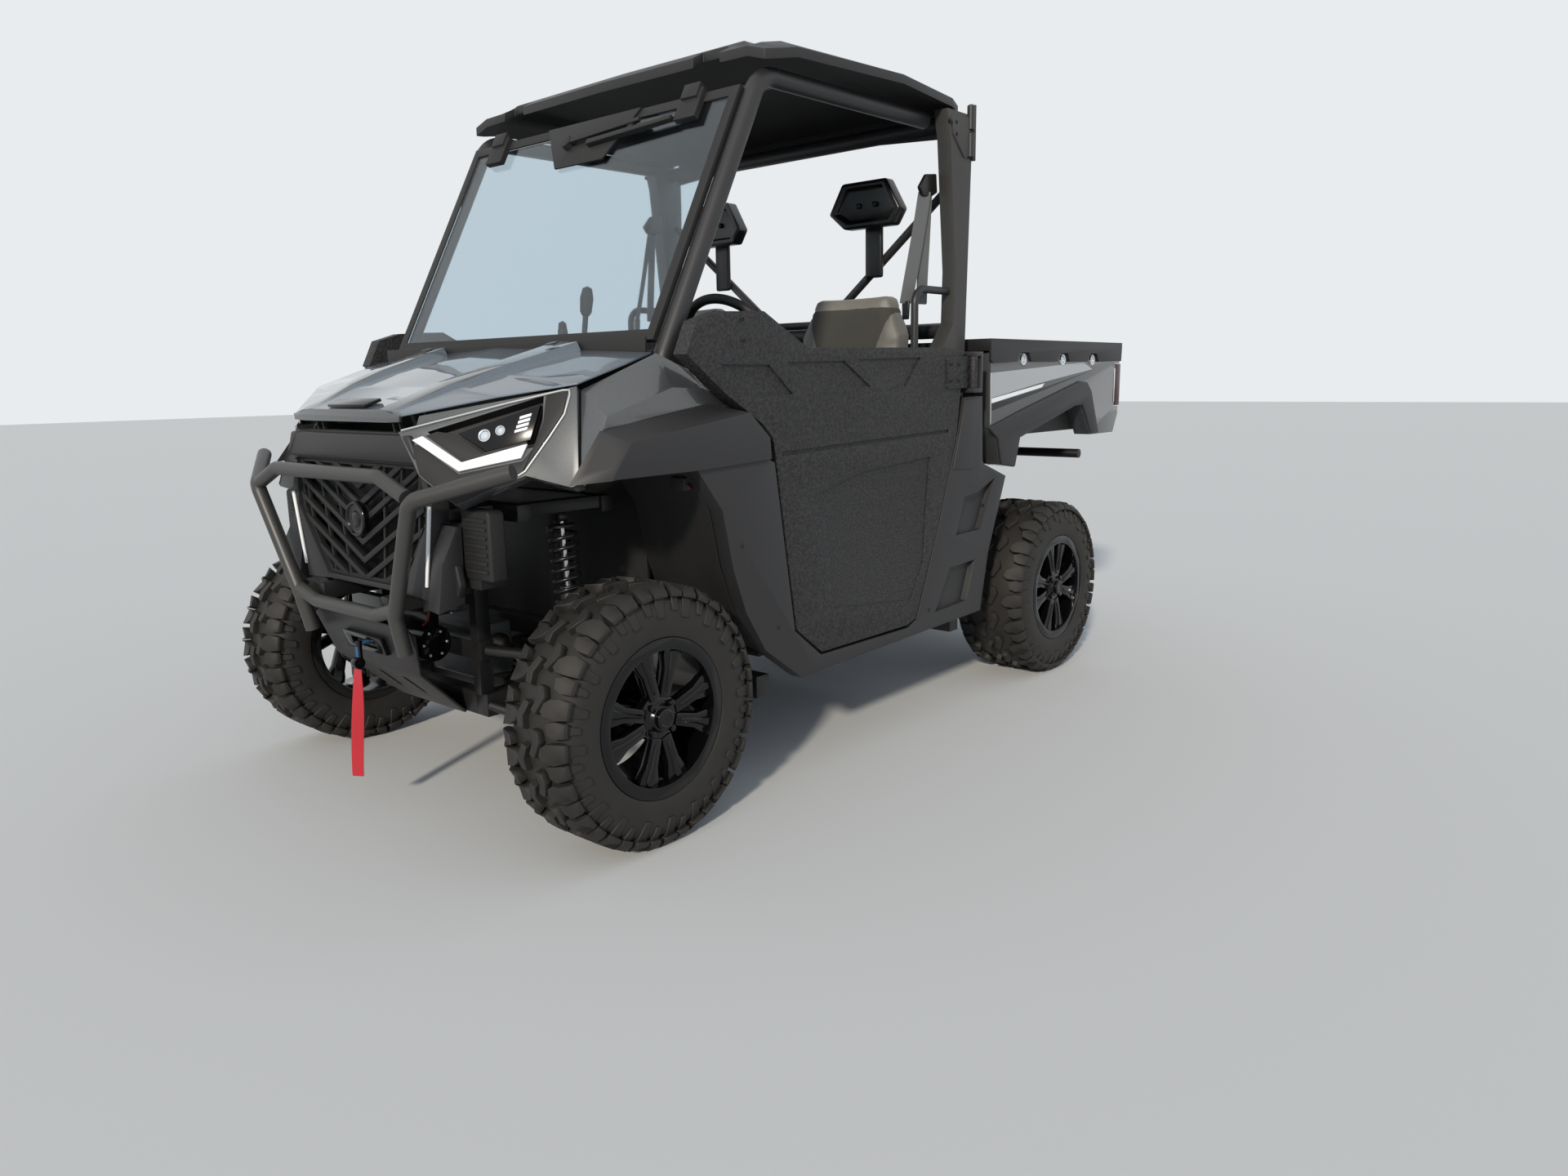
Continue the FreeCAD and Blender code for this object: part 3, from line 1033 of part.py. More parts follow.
def make_drive():
    """Engine, gear cases and half shafts."""
    top = s.rail_bottom + s.rail_height + s.seat_gap
    node("drive_train", block("engine_block", (-190, rear - 420, top), (190, rear - 170, 780)),
         block("front_case", (-110, front - 70, top), (110, front + 50, s.drive_height + 60)),
         block("rear_case", (-150, rear - 90, top), (150, rear + 90, s.drive_height + 110)))
    shafts = []
    for name, station, inner in (("front", front, 110), ("rear", rear, 150)):
        start = V(inner + float(s.seat_gap), float(station), float(s.drive_height))
        end = V(float(s.kingpin_x) - 50, float(station), float(hub))
        along = end - start
        shaft = joined(f"{name}_half_shaft", [
            rod(f"{name}_half_shaft_bar", start + along * 0.05, end, 13),
            rod(f"{name}_half_shaft_boot", end - along * 0.12, end, 34),
            rod(f"{name}_half_shaft_inner", start, (start.x + 70, start.y, start.z), 36)])
        shafts += pair(f"{name}_half_shaft", shaft)
    node("half_shafts", *shafts)
    core = block("radiator_core", (-300, nose + 160, 605 + s.seat_gap), (300, nose + 215, 790))
    tanks = [side_block(f"radiator_tank{side}", side, (298, nose + 152, 640), (440, nose + 222, 795))
             for side in (-1, 1)]
    node("radiator", joined("radiator_whole", [core] + tanks))


def make_bumper():
    """The front guard: bent uprights under a crossbar, with the winch plate, the winch and its strap."""
    r = s.bumper_tube
    upright = tube("guard_upright", [(604, nose + 145, 924), (382, nose + r, 858), (238, nose + 42, 568),
                                     (234, nose + 62, 470)], r, 45)
    crossbar = tube("guard_crossbar", [(-366, nose + r + 2, 866), (-257, nose + r, 908),
                                       (257, nose + r, 908), (366, nose + r + 2, 866)], r - 1, 40)
    tie = tube("guard_tie", [(-238, nose + 42, 585), (-150, nose + 42, 562), (150, nose + 42, 562),
                             (238, nose + 42, 585)], r - 1, 40)
    node("front_bumper", joined("front_guard", [upright, mirrored("guard_upright_right", upright), crossbar,
                                                tie]))
    skid = cut("skid_trim", plate("skid_bent", "side", [
        (nose + 74.5, 530), (nose + 112, 400), (nose + 265, 257), (nose + 269.7, 262), (nose + 118, 403),
        (nose + 81, 530)], -250, 500),
        [plate(f"skid_edge{side}", "front", [(150 * side, 240), (248 * side, 512), (210 * side, 531),
                                             (260 * side, 531), (260 * side, 240)],
               nose + 60, 220) for side in (-1, 1)]
        + [block("fairlead_slot", (-70, nose + 60, 448), (70, nose + 130, 478))]
        + [block(f"skid_slot{side}", (side * 60 - 12, nose + 150, 250), (side * 60 + 12, nose + 215, 420))
           for side in (-1, 1)])
    node("bumper_plate", skid)
    axis_y, axis_z = nose + 172, 470
    drum = joined("winch_set", [
        rod("winch_drum", (-70, axis_y, axis_z), (70, axis_y, axis_z), 30),
        rod("winch_motor", (-190, axis_y, axis_z), (-66, axis_y, axis_z), 42),
        rod("winch_gears", (66, axis_y, axis_z), (190, axis_y, axis_z), 46),
        block("winch_foot", (-190, axis_y - 14, 488), (190, axis_y + 14, 565 - s.seat_gap)),
        cut("fairlead", plate("fairlead_block", "side", [(nose + 74.9, 486), (nose + 86.9, 486),
                                                         (nose + 100.2, 440), (nose + 88.2, 440)], -95, 190),
            [block("fairlead_mouth", (-62, nose + 60, 452), (62, nose + 120, 474))]),
        rod("winch_rope", (0, nose + 66, 463), (0, axis_y - 10, 463), 5),
        rod("hook_shank", (0, nose + 66, 470), (0, nose + 66, 404), 8),
        rod("hook_eye", (-10, nose + 60, 412), (10, nose + 60, 412), 15)])
    node("winch", drum)
    node("winch_strap", loft("strap", "top", [
        (110, [(-17, nose + 30), (17, nose + 36), (17, nose + 39), (-17, nose + 33)]),
        (250, [(-17, nose + 38), (17, nose + 38), (17, nose + 41), (-17, nose + 41)]),
        (396.7, [(-17, nose + 58), (17, nose + 58), (17, nose + 61), (-17, nose + 61)])]))


def make_bed():
    """The tipping bed: tub, silver sides, notched cap rails, tail lamps and the tailgate on its pins."""
    first, last = s.bed_front_y, s.bed_front_y + s.bed_length
    half = s.bed_half_width - 65
    gate_y, gate_z = last - 15, s.bed_floor + 24
    tub = cut("bed_tub_cut", block("bed_tub_outer", (-half, first, s.bed_floor),
                                   (half, last - 35, s.bed_cap - 40)),
              [block("bed_tub_hollow", (-half + s.bed_wall, first + s.bed_wall, s.bed_floor + s.bed_wall),
                     (half - s.bed_wall, last, s.bed_cap))])
    ribs = [side_block(f"bed_rib{side}", side, (s.rail_x - 12, first + 60, s.bed_floor - 30),
                       (s.rail_x + 12, s.bed_hinge_y + 14, s.bed_floor + 5)) for side in (-1, 1)]
    eyes = [rod(f"bed_eye{side}", (s.rail_x * side - 12, s.bed_hinge_y, s.bed_hinge_z),
                (s.rail_x * side + 12, s.bed_hinge_y, s.bed_hinge_z), 14) for side in (-1, 1)]
    lugs = []
    for side in (-1, 1):
        x = s.gate_hinge_x * side
        lugs.append(block(f"gate_lug{side}", (x - 12, last - 36, gate_z - 10), (x + 12, gate_y, gate_z + 8)))
        lugs.append(rod(f"gate_eye{side}", (x - 12, gate_y, gate_z), (x + 12, gate_y, gate_z), 10))
        lugs.append(rod(f"gate_pin{side}", (x - 40, gate_y, gate_z), (x + 40, gate_y, gate_z), 5))
    bore = rod("bed_bore", (-s.rail_x - 40, s.bed_hinge_y, s.bed_hinge_z),
               (s.rail_x + 40, s.bed_hinge_y, s.bed_hinge_z), 8.05)
    node("bed_tub", cut("bed_tub_whole", joined("bed_tub_raw", [tub] + ribs + eyes + lugs), [bore]))
    lamp_room = block("tail_lamp_room", (half + 40, last - 75, 990), (half + 90, last - 30, 1160))
    panel = plate("bed_side_blank", "side", [
        (first - 4, 1195), (last - 35, 1195), (last - 35, 960), (last - 75, 885), (rear + 314, 885),
        (rear + 224, 1003),
        (rear + 164, 1000), (rear - 266, 900), (rear - 298, 800), (rear - 395, 816), (rear - 421, 905),
        (first - 4, 945)],
        half + s.seat_gap, 65)
    # The lip along the lower edge, over the wheel.
    lip = plate("bed_side_lip", "side", [
        (rear - 400, 905), (rear - 266, 903), (rear + 162, 1003), (rear + 226, 1006), (rear + 312, 890),
        (rear + 340, 920),
        (rear + 250, 1050), (rear + 150, 1048), (rear - 300, 945), (rear - 400, 925)], half + 64, 9)
    node("bed_sides", *pair("bed_side", joined("bed_side_whole",
                                               [cut("bed_side_cut", panel, [lamp_room]), lip])))
    top = block("bed_cap_top", (half - 30, first - 20, s.bed_cap - 40 + s.seat_gap),
                (half + 74, last - 36, s.bed_cap))
    skirt = [(first - 20, s.bed_cap - 10), (first - 20, 1168), (first - 4, 1160)]
    for middle in (rear - 250, rear + 52, rear + 302):
        skirt += [(middle - 50, 1165), (middle - 30, 1196), (middle + 30, 1196), (middle + 50, 1165)]
    skirt += [(last - 40, 1168), (last - 36, s.bed_cap - 10)]
    side_skirt = plate("bed_cap_skirt", "side", skirt, half + 65 + 2 * s.seat_gap, 9)
    node("bed_caps", *pair("bed_cap", joined("bed_cap_whole", [top, side_skirt])))
    lamp = block("tail_lamp", (half + 42, last - 75 + s.seat_gap, 992), (half + 66, last - 22, 1158))
    node("tail_lamps", *pair("tail_lamp", lamp))
    fold = s.bed_floor + 18
    openings = []
    for side in (-1, 1):
        x = s.gate_hinge_x * side
        openings.append(block(f"gate_notch{side}", (x - 19, last - 31, fold - 1),
                              (x + 19, last + 1, gate_z + 22)))
        openings.append(rod(f"gate_bore{side}", (x - 42, gate_y, gate_z), (x + 42, gate_y, gate_z), 5.05))
    openings.append(plate("gate_pressing", "front", [
        (-half + 120, fold + 60), (half - 120, fold + 60), (half - 80, s.bed_cap - 60),
        (-half + 80, s.bed_cap - 60)], last - 6, 7))
    gate = block("tailgate_panel", (-half + 6, last - 28, fold), (half - 6, last, s.bed_cap - 2))
    node("tailgate", cut("tailgate_whole", gate, openings))


make_frame()
make_wheels()
make_uprights()
make_arms()
make_shocks()
make_cab()
make_roof()
make_screen()
make_hood()
make_front_body()
make_sides()
make_floor()
make_controls()
make_rack()
make_drive()
make_bumper()
make_bed()

doc.recompute()
broken = [thing.Name for thing in doc.Objects if {"Invalid", "Error"} & set(thing.State)]
for piece in NODES:
    if piece.Shape.isNull() or not piece.Shape.isValid() or not piece.Shape.Solids:
        broken.append(piece.Label)
if broken:
    raise RuntimeError("failed: " + ", ".join(broken))
os.makedirs("parts", exist_ok=True)
for piece in NODES:
    piece.Shape.exportStep(os.path.join("parts", piece.Label + ".step"))
print(len(NODES), "nodes,", sum(len(piece.Shape.Solids) for piece in NODES), "solids")
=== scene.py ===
"""A side-by-side utility vehicle, finished round its CAD frame.

Units are metres. The front faces -Y, the left side is +X and the wheels stand on Z = 0.
"""
import json
import math

import bpy
from mathutils import Matrix, Vector


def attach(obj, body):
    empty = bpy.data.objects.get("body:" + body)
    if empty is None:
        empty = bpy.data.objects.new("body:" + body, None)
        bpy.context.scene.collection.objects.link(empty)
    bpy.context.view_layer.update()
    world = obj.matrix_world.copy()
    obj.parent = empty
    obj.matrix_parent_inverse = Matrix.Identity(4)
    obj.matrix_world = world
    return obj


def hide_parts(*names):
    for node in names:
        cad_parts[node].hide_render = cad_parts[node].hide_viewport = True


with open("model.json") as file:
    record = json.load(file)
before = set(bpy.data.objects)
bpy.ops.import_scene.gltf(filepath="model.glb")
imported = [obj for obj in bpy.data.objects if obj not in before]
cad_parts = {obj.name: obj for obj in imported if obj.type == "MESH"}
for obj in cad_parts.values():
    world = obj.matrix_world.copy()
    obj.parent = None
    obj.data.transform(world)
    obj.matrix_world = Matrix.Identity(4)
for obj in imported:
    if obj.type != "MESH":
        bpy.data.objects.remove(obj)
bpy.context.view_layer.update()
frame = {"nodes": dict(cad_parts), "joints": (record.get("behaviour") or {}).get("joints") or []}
nodes = frame["nodes"]
joints = {joint["name"]: joint for joint in frame["joints"]}
MM = 0.001

# The studio: a pale floor that runs to the horizon and a plain pale world.
# A low sun stands behind the camera's right shoulder, as in the photograph, under an open sky.
# The camera is where the photograph was taken, solved from the wheels and the cage.


def linear(colour):
    """A colour written as sRGB hex, turned to the linear values that the renderer works in."""
    channels = [int(colour[i:i + 2], 16) / 255 for i in (1, 3, 5)]
    return [c / 12.92 if c <= 0.04045 else ((c + 0.055) / 1.055) ** 2.4 for c in channels] + [1.0]


def put(tree, kind, sockets, **settings):
    """Add a node with its settings; each socket gets a value or another node's output."""
    added = tree.nodes.new(kind)
    for key, value in settings.items():
        setattr(added, key, value)
    for key, value in sockets.items():
        if isinstance(value, bpy.types.NodeSocket):
            tree.links.new(value, added.inputs[key])
        else:
            added.inputs[key].default_value = value
    return added


class Finish:
    """A material in the making: its nodes, its shader and the Object coordinates that its patterns read."""

    def __init__(self, name, settings=()):
        self.material = bpy.data.materials.new(name)
        self.material.use_nodes = True
        self.tree = self.material.node_tree
        self.place = put(self.tree, "ShaderNodeTexCoord", {}).outputs["Object"]
        self.shader = self.tree.nodes["Principled BSDF"]
        for key, value in dict(settings).items():
            self.shader.inputs[key].default_value = value

    def noise(self, pitch, detail, roughness=0.5):
        """Noise whose features are a pitch in millimetres across."""
        sockets = {"Vector": self.place, "Scale": 1 / (pitch * MM), "Detail": detail, "Roughness": roughness}
        return put(self.tree, "ShaderNodeTexNoise", sockets).outputs["Fac"]

    def cells(self, pitch, output="Distance"):
        """Cells a pitch in millimetres apart."""
        sockets = {"Vector": self.place, "Scale": 1 / (pitch * MM)}
        return put(self.tree, "ShaderNodeTexVoronoi", sockets).outputs[output]

    def lines(self, pitch, direction, distortion=0.0, detail=2.0):
        """Parallel lines a pitch in millimetres apart."""
        sockets = {
            "Vector": self.place, "Scale": math.pi / 10 / (pitch * MM), "Distortion": distortion,
            "Detail": detail}
        return put(self.tree, "ShaderNodeTexWave", sockets, bands_direction=direction).outputs["Fac"]

    def span(self, share, low, high, start=0.0, stop=1.0):
        """A share between start and stop, drawn out from low to high."""
        sockets = {"Value": share, 1: start, 2: stop, 3: low, 4: high}
        return put(self.tree, "ShaderNodeMapRange", sockets).outputs[0]

    def colour(self, share, low, high):
        """Run the colour from low to high with a share."""
        tone = put(self.tree, "ShaderNodeMix", {0: share, 6: low, 7: high}, data_type="RGBA")
        self.tree.links.new(tone.outputs[2], self.shader.inputs["Base Color"])

    def tint(self, share, colour, gain, lift=0):
        """Run the colour, given as hex, with a share to a paler one by a gain and a lift."""
        self.colour(share, linear(colour), [c * gain + lift for c in linear(colour)[:3]] + [1])

    def dull(self, share, low, high):
        """Run the roughness from low to high with a share."""
        self.tree.links.new(self.span(share, low, high), self.shader.inputs["Roughness"])

    def bump(self, height, strength, depth, socket="Normal"):
        """Raise the surface with a height, by up to a depth in millimetres."""
        sockets = {"Strength": strength, "Distance": depth * MM, "Height": height}
        raised = put(self.tree, "ShaderNodeBump", sockets)
        self.tree.links.new(raised.outputs[0], self.shader.inputs[socket])


def added(name, data):
    """A new object in the scene."""
    piece = bpy.data.objects.new(name, data)
    bpy.context.scene.collection.objects.link(piece)
    return piece


floor_finish = Finish("painted_studio_floor", {"Base Color": linear("#D9DBDB"), "Roughness": 0.9})
bpy.ops.mesh.primitive_plane_add(size=80, location=(0, 0, 0))
floor = bpy.context.active_object
floor.name = "studio_floor"
floor.data.materials.append(floor_finish.material)

world = bpy.data.worlds.new("studio_world")
bpy.context.scene.world = world
world.use_nodes = True
sky = world.node_tree
rays = put(sky, "ShaderNodeLightPath", {}).outputs
seen = put(sky, "ShaderNodeMath", {0: rays["Is Camera Ray"], 1: rays["Is Transmission Ray"]},
    operation="MAXIMUM")
seen = put(sky, "ShaderNodeMath", {0: seen.outputs[0], 1: rays["Is Glossy Ray"]}, operation="MAXIMUM")
backdrop = put(sky, "ShaderNodeBackground", {"Color": linear("#E9ECEE"), "Strength": 1.0})
dome = put(sky, "ShaderNodeBackground", {"Color": linear("#DCE6F4"), "Strength": 0.55})
mixed = put(sky, "ShaderNodeMixShader", {0: seen.outputs[0], 1: dome.outputs[0], 2: backdrop.outputs[0]})
sky.links.new(mixed.outputs[0], sky.nodes["World Output"].inputs["Surface"])

sun = added("low_sun", bpy.data.lights.new("low_sun", "SUN"))
sun.data.energy = 2.6
sun.data.angle = math.radians(4)
sun.data.color = linear("#FFF4E4")[:3]
sun.rotation_euler = Vector((-0.38, 0.83, -0.43)).to_track_quat("-Z", "Y").to_euler()

eye = Vector((2.601, -2.802, 1.119))
ahead = Vector((-0.6389, 0.7452, -0.1909)).normalized()
roll = math.radians(-0.863)
level = ahead.cross(Vector((0, 0, 1))).normalized()
upright = level.cross(ahead)
across = level * math.cos(roll) + upright * math.sin(roll)
upward = upright * math.cos(roll) - level * math.sin(roll)
camera = added("photo_camera", bpy.data.cameras.new("photo_camera"))
camera.data.lens = 24.73
camera.data.sensor_width = 36
camera.matrix_world = Matrix.Translation(eye) @ Matrix((across, upward, -ahead)).transposed().to_4x4()
bpy.context.scene.camera = camera
bpy.context.scene.view_settings.view_transform = "Standard"

# The ladder frame: box and round steel tube, welded, then powder coated satin black.
# The coat is about 80 microns thick, so edges are slightly round and the surface has a faint orange peel.
FLAT_ANGLE = math.radians(0.6)  # flatter edges are merged away
SHARP_ANGLE = math.radians(33)  # sharper edges are rounded
SMOOTH_ANGLE = math.radians(40)  # sharper edges stay hard in the shading


def powder_coat(name, colour, roughness):
    """Powder coat on steel: satin, a little patchy over a hand's width, with a fine orange peel."""
    finish = Finish(name)
    patches = finish.noise(140, 3.0)
    finish.tint(patches, colour, 1.3, 0.002)
    # Orange peel is about 2 mm across.
    finish.bump(finish.noise(2, 1.0), 0.25, 0.15)
    finish.dull(patches, roughness - 0.06, roughness + 0.08)
    return finish.material


def select_only(*pieces):
    """Leave nothing selected but these pieces, the first of them active."""
    bpy.ops.object.select_all(action="DESELECT")
    for piece in pieces:
        piece.select_set(True)
    bpy.context.view_layer.objects.active = pieces[0]


def edited(piece, *steps):
    """Run each step on the whole mesh of a piece, in edit mode."""
    select_only(piece)
    bpy.ops.object.mode_set(mode="EDIT")
    for step in steps:
        bpy.ops.mesh.select_all(action="SELECT")
        step()
    bpy.ops.object.mode_set(mode="OBJECT")
    return piece


def weld():
    """Merge the points that lie together."""
    bpy.ops.mesh.remove_doubles(threshold=0.02 * MM)


def merged_copy(node):
    """A copy of a CAD piece with its loose triangles merged into whole faces."""
    piece = added(f"{node}_piece", nodes[node].data.copy())
    select_only(piece)
    bpy.ops.mesh.customdata_custom_splitnormals_clear()
    return edited(piece, weld, lambda: bpy.ops.mesh.dissolve_limited(angle_limit=FLAT_ANGLE))


def shaped(piece, kind, **settings):
    """Change a piece, the active one, by a modifier with its settings."""
    change = piece.modifiers.new("change", kind)
    for key, value in settings.items():
        setattr(change, key, value)
    bpy.ops.object.modifier_apply(modifier=change.name)


def soften(piece, width, segments=2):
    """Round the sharp edges of a piece by a width in millimetres and shade what is left as smooth."""
    select_only(piece)
    if width:
        shaped(
            piece, "BEVEL", width=width * MM, segments=segments, limit_method="ANGLE", angle_limit=SHARP_ANGLE)
    bpy.ops.object.shade_smooth_by_angle(angle=SMOOTH_ANGLE)
    return piece


def settle(piece, material, slot, *stood_for, body="chassis"):
    """Give a finished piece its material and body, and hide the CAD nodes that it stands for; the slot is not
    used.
    """
    select_only(piece)
    bpy.ops.object.transform_apply(location=True, rotation=True, scale=True)
    if material:
        piece.data.materials.clear()
        piece.data.materials.append(material)
    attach(piece, body)
    if stood_for:
        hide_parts(*stood_for)
    return piece


def dressed(node, material, slot, width=2, segments=2, body="chassis"):
    """A CAD piece of the right shape, with the small edge radius in millimetres that its making leaves."""
    return settle(soften(merged_copy(node), width, segments), material, slot, node, body=body)


chassis_coat = powder_coat("chassis_powder_coat", "#131314", 0.44)
cage_coat = powder_coat("cage_powder_coat", "#252527", 0.42)
# A paler copy of the cage coat, for the rear pillars and the front guard: painted light, where they are lit
# more strongly.
painted_lit_coat = powder_coat("painted_lit_powder_coat", "#343433", 0.42)
dressed("frame", chassis_coat, "frame_enamel", 2.5)

# Suspension: tubular wishbones, cast uprights, and the steering rack with its tie rods.
# The castings are sand cast alloy, so they are dull and grainy beside the coated tube.


def turned_steel(name, colour, roughness):
    """Turned or drawn steel: bright, with faint tool lines about 0.8 mm apart along the vehicle's width."""
    finish = Finish(name, {"Metallic": 1.0, "Base Color": linear(colour)})
    finish.dull(finish.lines(0.8, "X", 0.4), roughness - 0.05, roughness + 0.08)
    return finish.material


alloy = Finish("sand_cast_alloy", {"Metallic": 1.0, "Base Color": linear("#7C7F82")})
# The skin has a grain of about 1.5 mm from the sand.
sand = alloy.noise(1.5, 3.0)
alloy.bump(sand, 0.5, 0.25)
alloy.dull(sand, 0.48, 0.66)
casting = alloy.material
bright_steel = turned_steel("turned_steel", "#B9BCBF", 0.26)
dressed("wishbones", chassis_coat, "frame_enamel", 0)
dressed("rear_uprights", casting, "cast_alloy")
for corner in ("fl", "fr"):
    dressed(f"knuckle_{corner}", casting, "cast_alloy", body=f"upright_{corner}")
dressed("tie_rods", chassis_coat, "bare_metal", 0, body="steering_rack")
dressed("rack_housing", casting, "cast_alloy")
dressed("drive_train", casting, "cast_alloy", 8, 3)

# The coil-overs: a twin-tube damper with a chromed rod, and a black spring held between two cups.
# The spring is 10 mm wire in eight turns; the damper is black with a bright gland.


def polygon(name, corners, fill="NGON"):
    """A flat face through corners in millimetres, or a bare ring of edges where fill is NOTHING."""
    bpy.ops.mesh.primitive_circle_add(vertices=len(corners), fill_type=fill)
    piece = bpy.context.active_object
    piece.name = name
    for vertex, corner in zip(piece.data.vertices, corners):
        vertex.co = Vector(corner) * MM
    return piece


def face_out():
    """Turn the faces outward."""
    bpy.ops.mesh.normals_make_consistent(inside=False)


def spun(name, profile, steps=48):
    """A round piece: a closed profile of (along X, radius) points in millimetres spun about the X axis."""
    def spin():
        bpy.ops.mesh.spin(steps=steps, angle=2 * math.pi, center=(0, 0, 0), axis=(1, 0, 0))

    ring = polygon(name, [(along, 0, radius) for along, radius in profile], "NOTHING")
    return edited(ring, spin, weld, face_out)


def aimed(piece, start, end):
    """Turn and move a piece made along X so that it runs from start toward end, in millimetres."""
    way = Vector(end) - Vector(start)
    turn = way.to_track_quat("X", "Z").to_matrix().to_4x4()
    piece.matrix_world = Matrix.Translation(Vector(start) * MM) @ turn
    return piece


def joined(name, pieces):
    """Join pieces into one, after their places are applied."""
    select_only(*pieces)
    bpy.ops.object.transform_apply(location=True, rotation=True, scale=True)
    bpy.ops.object.join()
    pieces[0].name = name
    return pieces[0]


def wire(name, points, radius, sides=5):
    """A round wire or tube along points, in millimetres, as a mesh."""
    line = bpy.data.curves.new(name, "CURVE")
    line.dimensions = "3D"
    line.bevel_depth = radius * MM
    line.bevel_resolution = sides
    line.use_fill_caps = True
    run = line.splines.new("POLY")
    run.points.add(len(points) - 1)
    for knot, point in zip(run.points, points):
        knot.co = (*(Vector(point) * MM), 1)
    select_only(added(name, line))
    bpy.ops.object.convert(target="MESH")
    bpy.ops.object.shade_smooth_by_angle(angle=math.radians(50))
    return bpy.context.active_object


axle_front, hub = Vector(joints["wheel_fl_roll"]["pos_m"]).yz / MM
axle_rear = joints["wheel_rl_roll"]["pos_m"][1] / MM
# Across and up, at the damper's lower and upper eye.
SHOCK_FOOT, SHOCK_HEAD = (450, 461), (420, 786)
SPRING_TURNS, SPRING_RADIUS, SPRING_WIRE = 8, 33, 5
STEPS_A_TURN = 24
DAMPER = (
    # shares of the length with radii: the tube, the lower cup, the upper cup
    [(0.07, 0), (0.07, 19), (0.09, 22), (0.44, 22), (0.46, 19), (0.47, 0)],
    [(0.235, 0), (0.235, 34), (0.25, 39.5), (0.262, 39.5), (0.262, 30), (0.265, 0)],
    [(0.915, 0), (0.915, 32), (0.92, 39.5), (0.935, 38), (0.95, 20), (0.95, 0)])
EYE, EYE_HALF = [(0, 6), (0, 13), (2, 14), (26, 14), (28, 13), (28, 6)], Vector((0, 14, 0))
springs, dampers, rods = [], [], []
for side in (-1, 1):
    for station in (axle_front, axle_rear):
        foot = Vector((SHOCK_FOOT[0] * side, station, SHOCK_FOOT[1]))
        head = Vector((SHOCK_HEAD[0] * side, station, SHOCK_HEAD[1]))
        length = (head - foot).length
        helix = []
        for step in range(SPRING_TURNS * STEPS_A_TURN + 1):
            turn = step * 2 * math.pi / STEPS_A_TURN
            along = length * (0.27 + 0.64 * step / (SPRING_TURNS * STEPS_A_TURN))
            helix.append((along, SPRING_RADIUS * math.cos(turn), SPRING_RADIUS * math.sin(turn)))
        springs.append(aimed(wire("coil", helix, SPRING_WIRE, 3), foot, head))
        for profile in DAMPER:
            dampers.append(aimed(spun("damper", [(length * a, r) for a, r in profile], 32), foot, head))
        for end in (foot, head):
            dampers.append(aimed(spun("eye", EYE, 24), end - EYE_HALF, end + EYE_HALF))
        rod_shape = [(length * 0.05, 0), (length * 0.05, 8), (length * 0.97, 8), (length * 0.97, 0)]
        rods.append(aimed(spun("damper_rod", rod_shape, 20), foot, head))
spring_coat = powder_coat("spring_coat", "#141416", 0.3)
settle(soften(joined("coil_springs", springs), 0), spring_coat, "frame_enamel", "shocks")
settle(soften(joined("damper_bodies", dampers), 0), cage_coat, "frame_enamel")
settle(soften(joined("damper_rods", rods), 0), bright_steel, "bare_metal")

# Half shafts: forged bars with ribbed rubber boots over the joints at both ends.
# The boots are soft black rubber held by steel bands.


def rubber(name, colour, grain, roughness):
    """Moulded rubber: nearly black, matte, with a fine mould grain and a faint grey bloom in patches."""
    finish = Finish(name, {"Specular IOR Level": 0.4})
    bloom = finish.noise(60, 5.0, 0.65)
    finish.colour(bloom, linear(colour), linear("#302E2C"))
    finish.bump(finish.noise(grain, 2.0), 0.35, 0.3)
    finish.dull(bloom, roughness - 0.1, roughness + 0.12)
    return finish.material


boot_rubber = rubber("boot_rubber", "#121213", 2.0, 0.6)
shafts, boots = [], []
for side in (-1, 1):
    for station, inner in ((axle_front, 110.3), (axle_rear, 150.3)):
        start, end = Vector((inner * side, station, 410)), Vector((540 * side, station, hub))
        length = (end - start).length
        shafts.append(aimed(spun("shaft", [(0, 0), (0, 13), (length, 13), (length, 0)], 24), start, end))
        for base, way in ((length, -1), (0.0, 1)):
            ribs = [(base, 0), (base, 34)]
            for index in range(5):
                high = 34 - index * 3.6
                ribs += [(base + way * (10 + index * 9), high), (base + way * (15 + index * 9), high - 7)]
            ribs += [(base + way * 58, 14), (base + way * 66, 14), (base + way * 66, 0)]
            boots.append(aimed(spun("boot", ribs, 32), start, end))
settle(soften(joined("shaft_bars", shafts), 0), bright_steel, "bare_metal", "half_shafts")
settle(soften(joined("shaft_boots", boots), 1), boot_rubber, "bare_metal")

# Tyres: eight-ply all-terrain tyres, 26 inches high, with deep angular lugs.
# Each pitch of the tread has a long and a short shoulder lug a side and two slanted centre blocks.
tyre_rubber = rubber("tyre_rubber", "#1A1918", 1.6, 0.62)
TYRE_TOP, TYRE_BASE = 325, 307
PITCHES, HALF_PITCH = 20, 51


def block_on(outline, base, shrink):
    """A lug pulled out from a base radius: its top is drawn in, and each corner lowered by its drop."""
    lug = polygon("lug", [(across_tread, along_tread, base) for across_tread, along_tread, _ in outline])

    def pull_out():
        bpy.ops.mesh.extrude_region_move(TRANSFORM_OT_translate={"value": (0, 0, (TYRE_TOP - base) * MM)})
        bpy.ops.transform.resize(value=(shrink, shrink, 1))

    edited(lug, pull_out, face_out)
    for corner in lug.data.vertices:
        if corner.co.z > (base + TYRE_TOP) / 2 * MM:
            nearest = min(
                outline, key=lambda p: (p[0] * MM - corner.co.x) ** 2 + (p[1] * MM - corner.co.y) ** 2)
            corner.co.z = (TYRE_TOP - nearest[2]) * MM
        # The lug follows the round of the tread.
        angle = corner.co.y / (TYRE_BASE * MM)
        radius = corner.co.z
        corner.co.y = radius * math.sin(angle)
        corner.co.z = radius * math.cos(angle)
    return soften(lug, 1.6, 1)


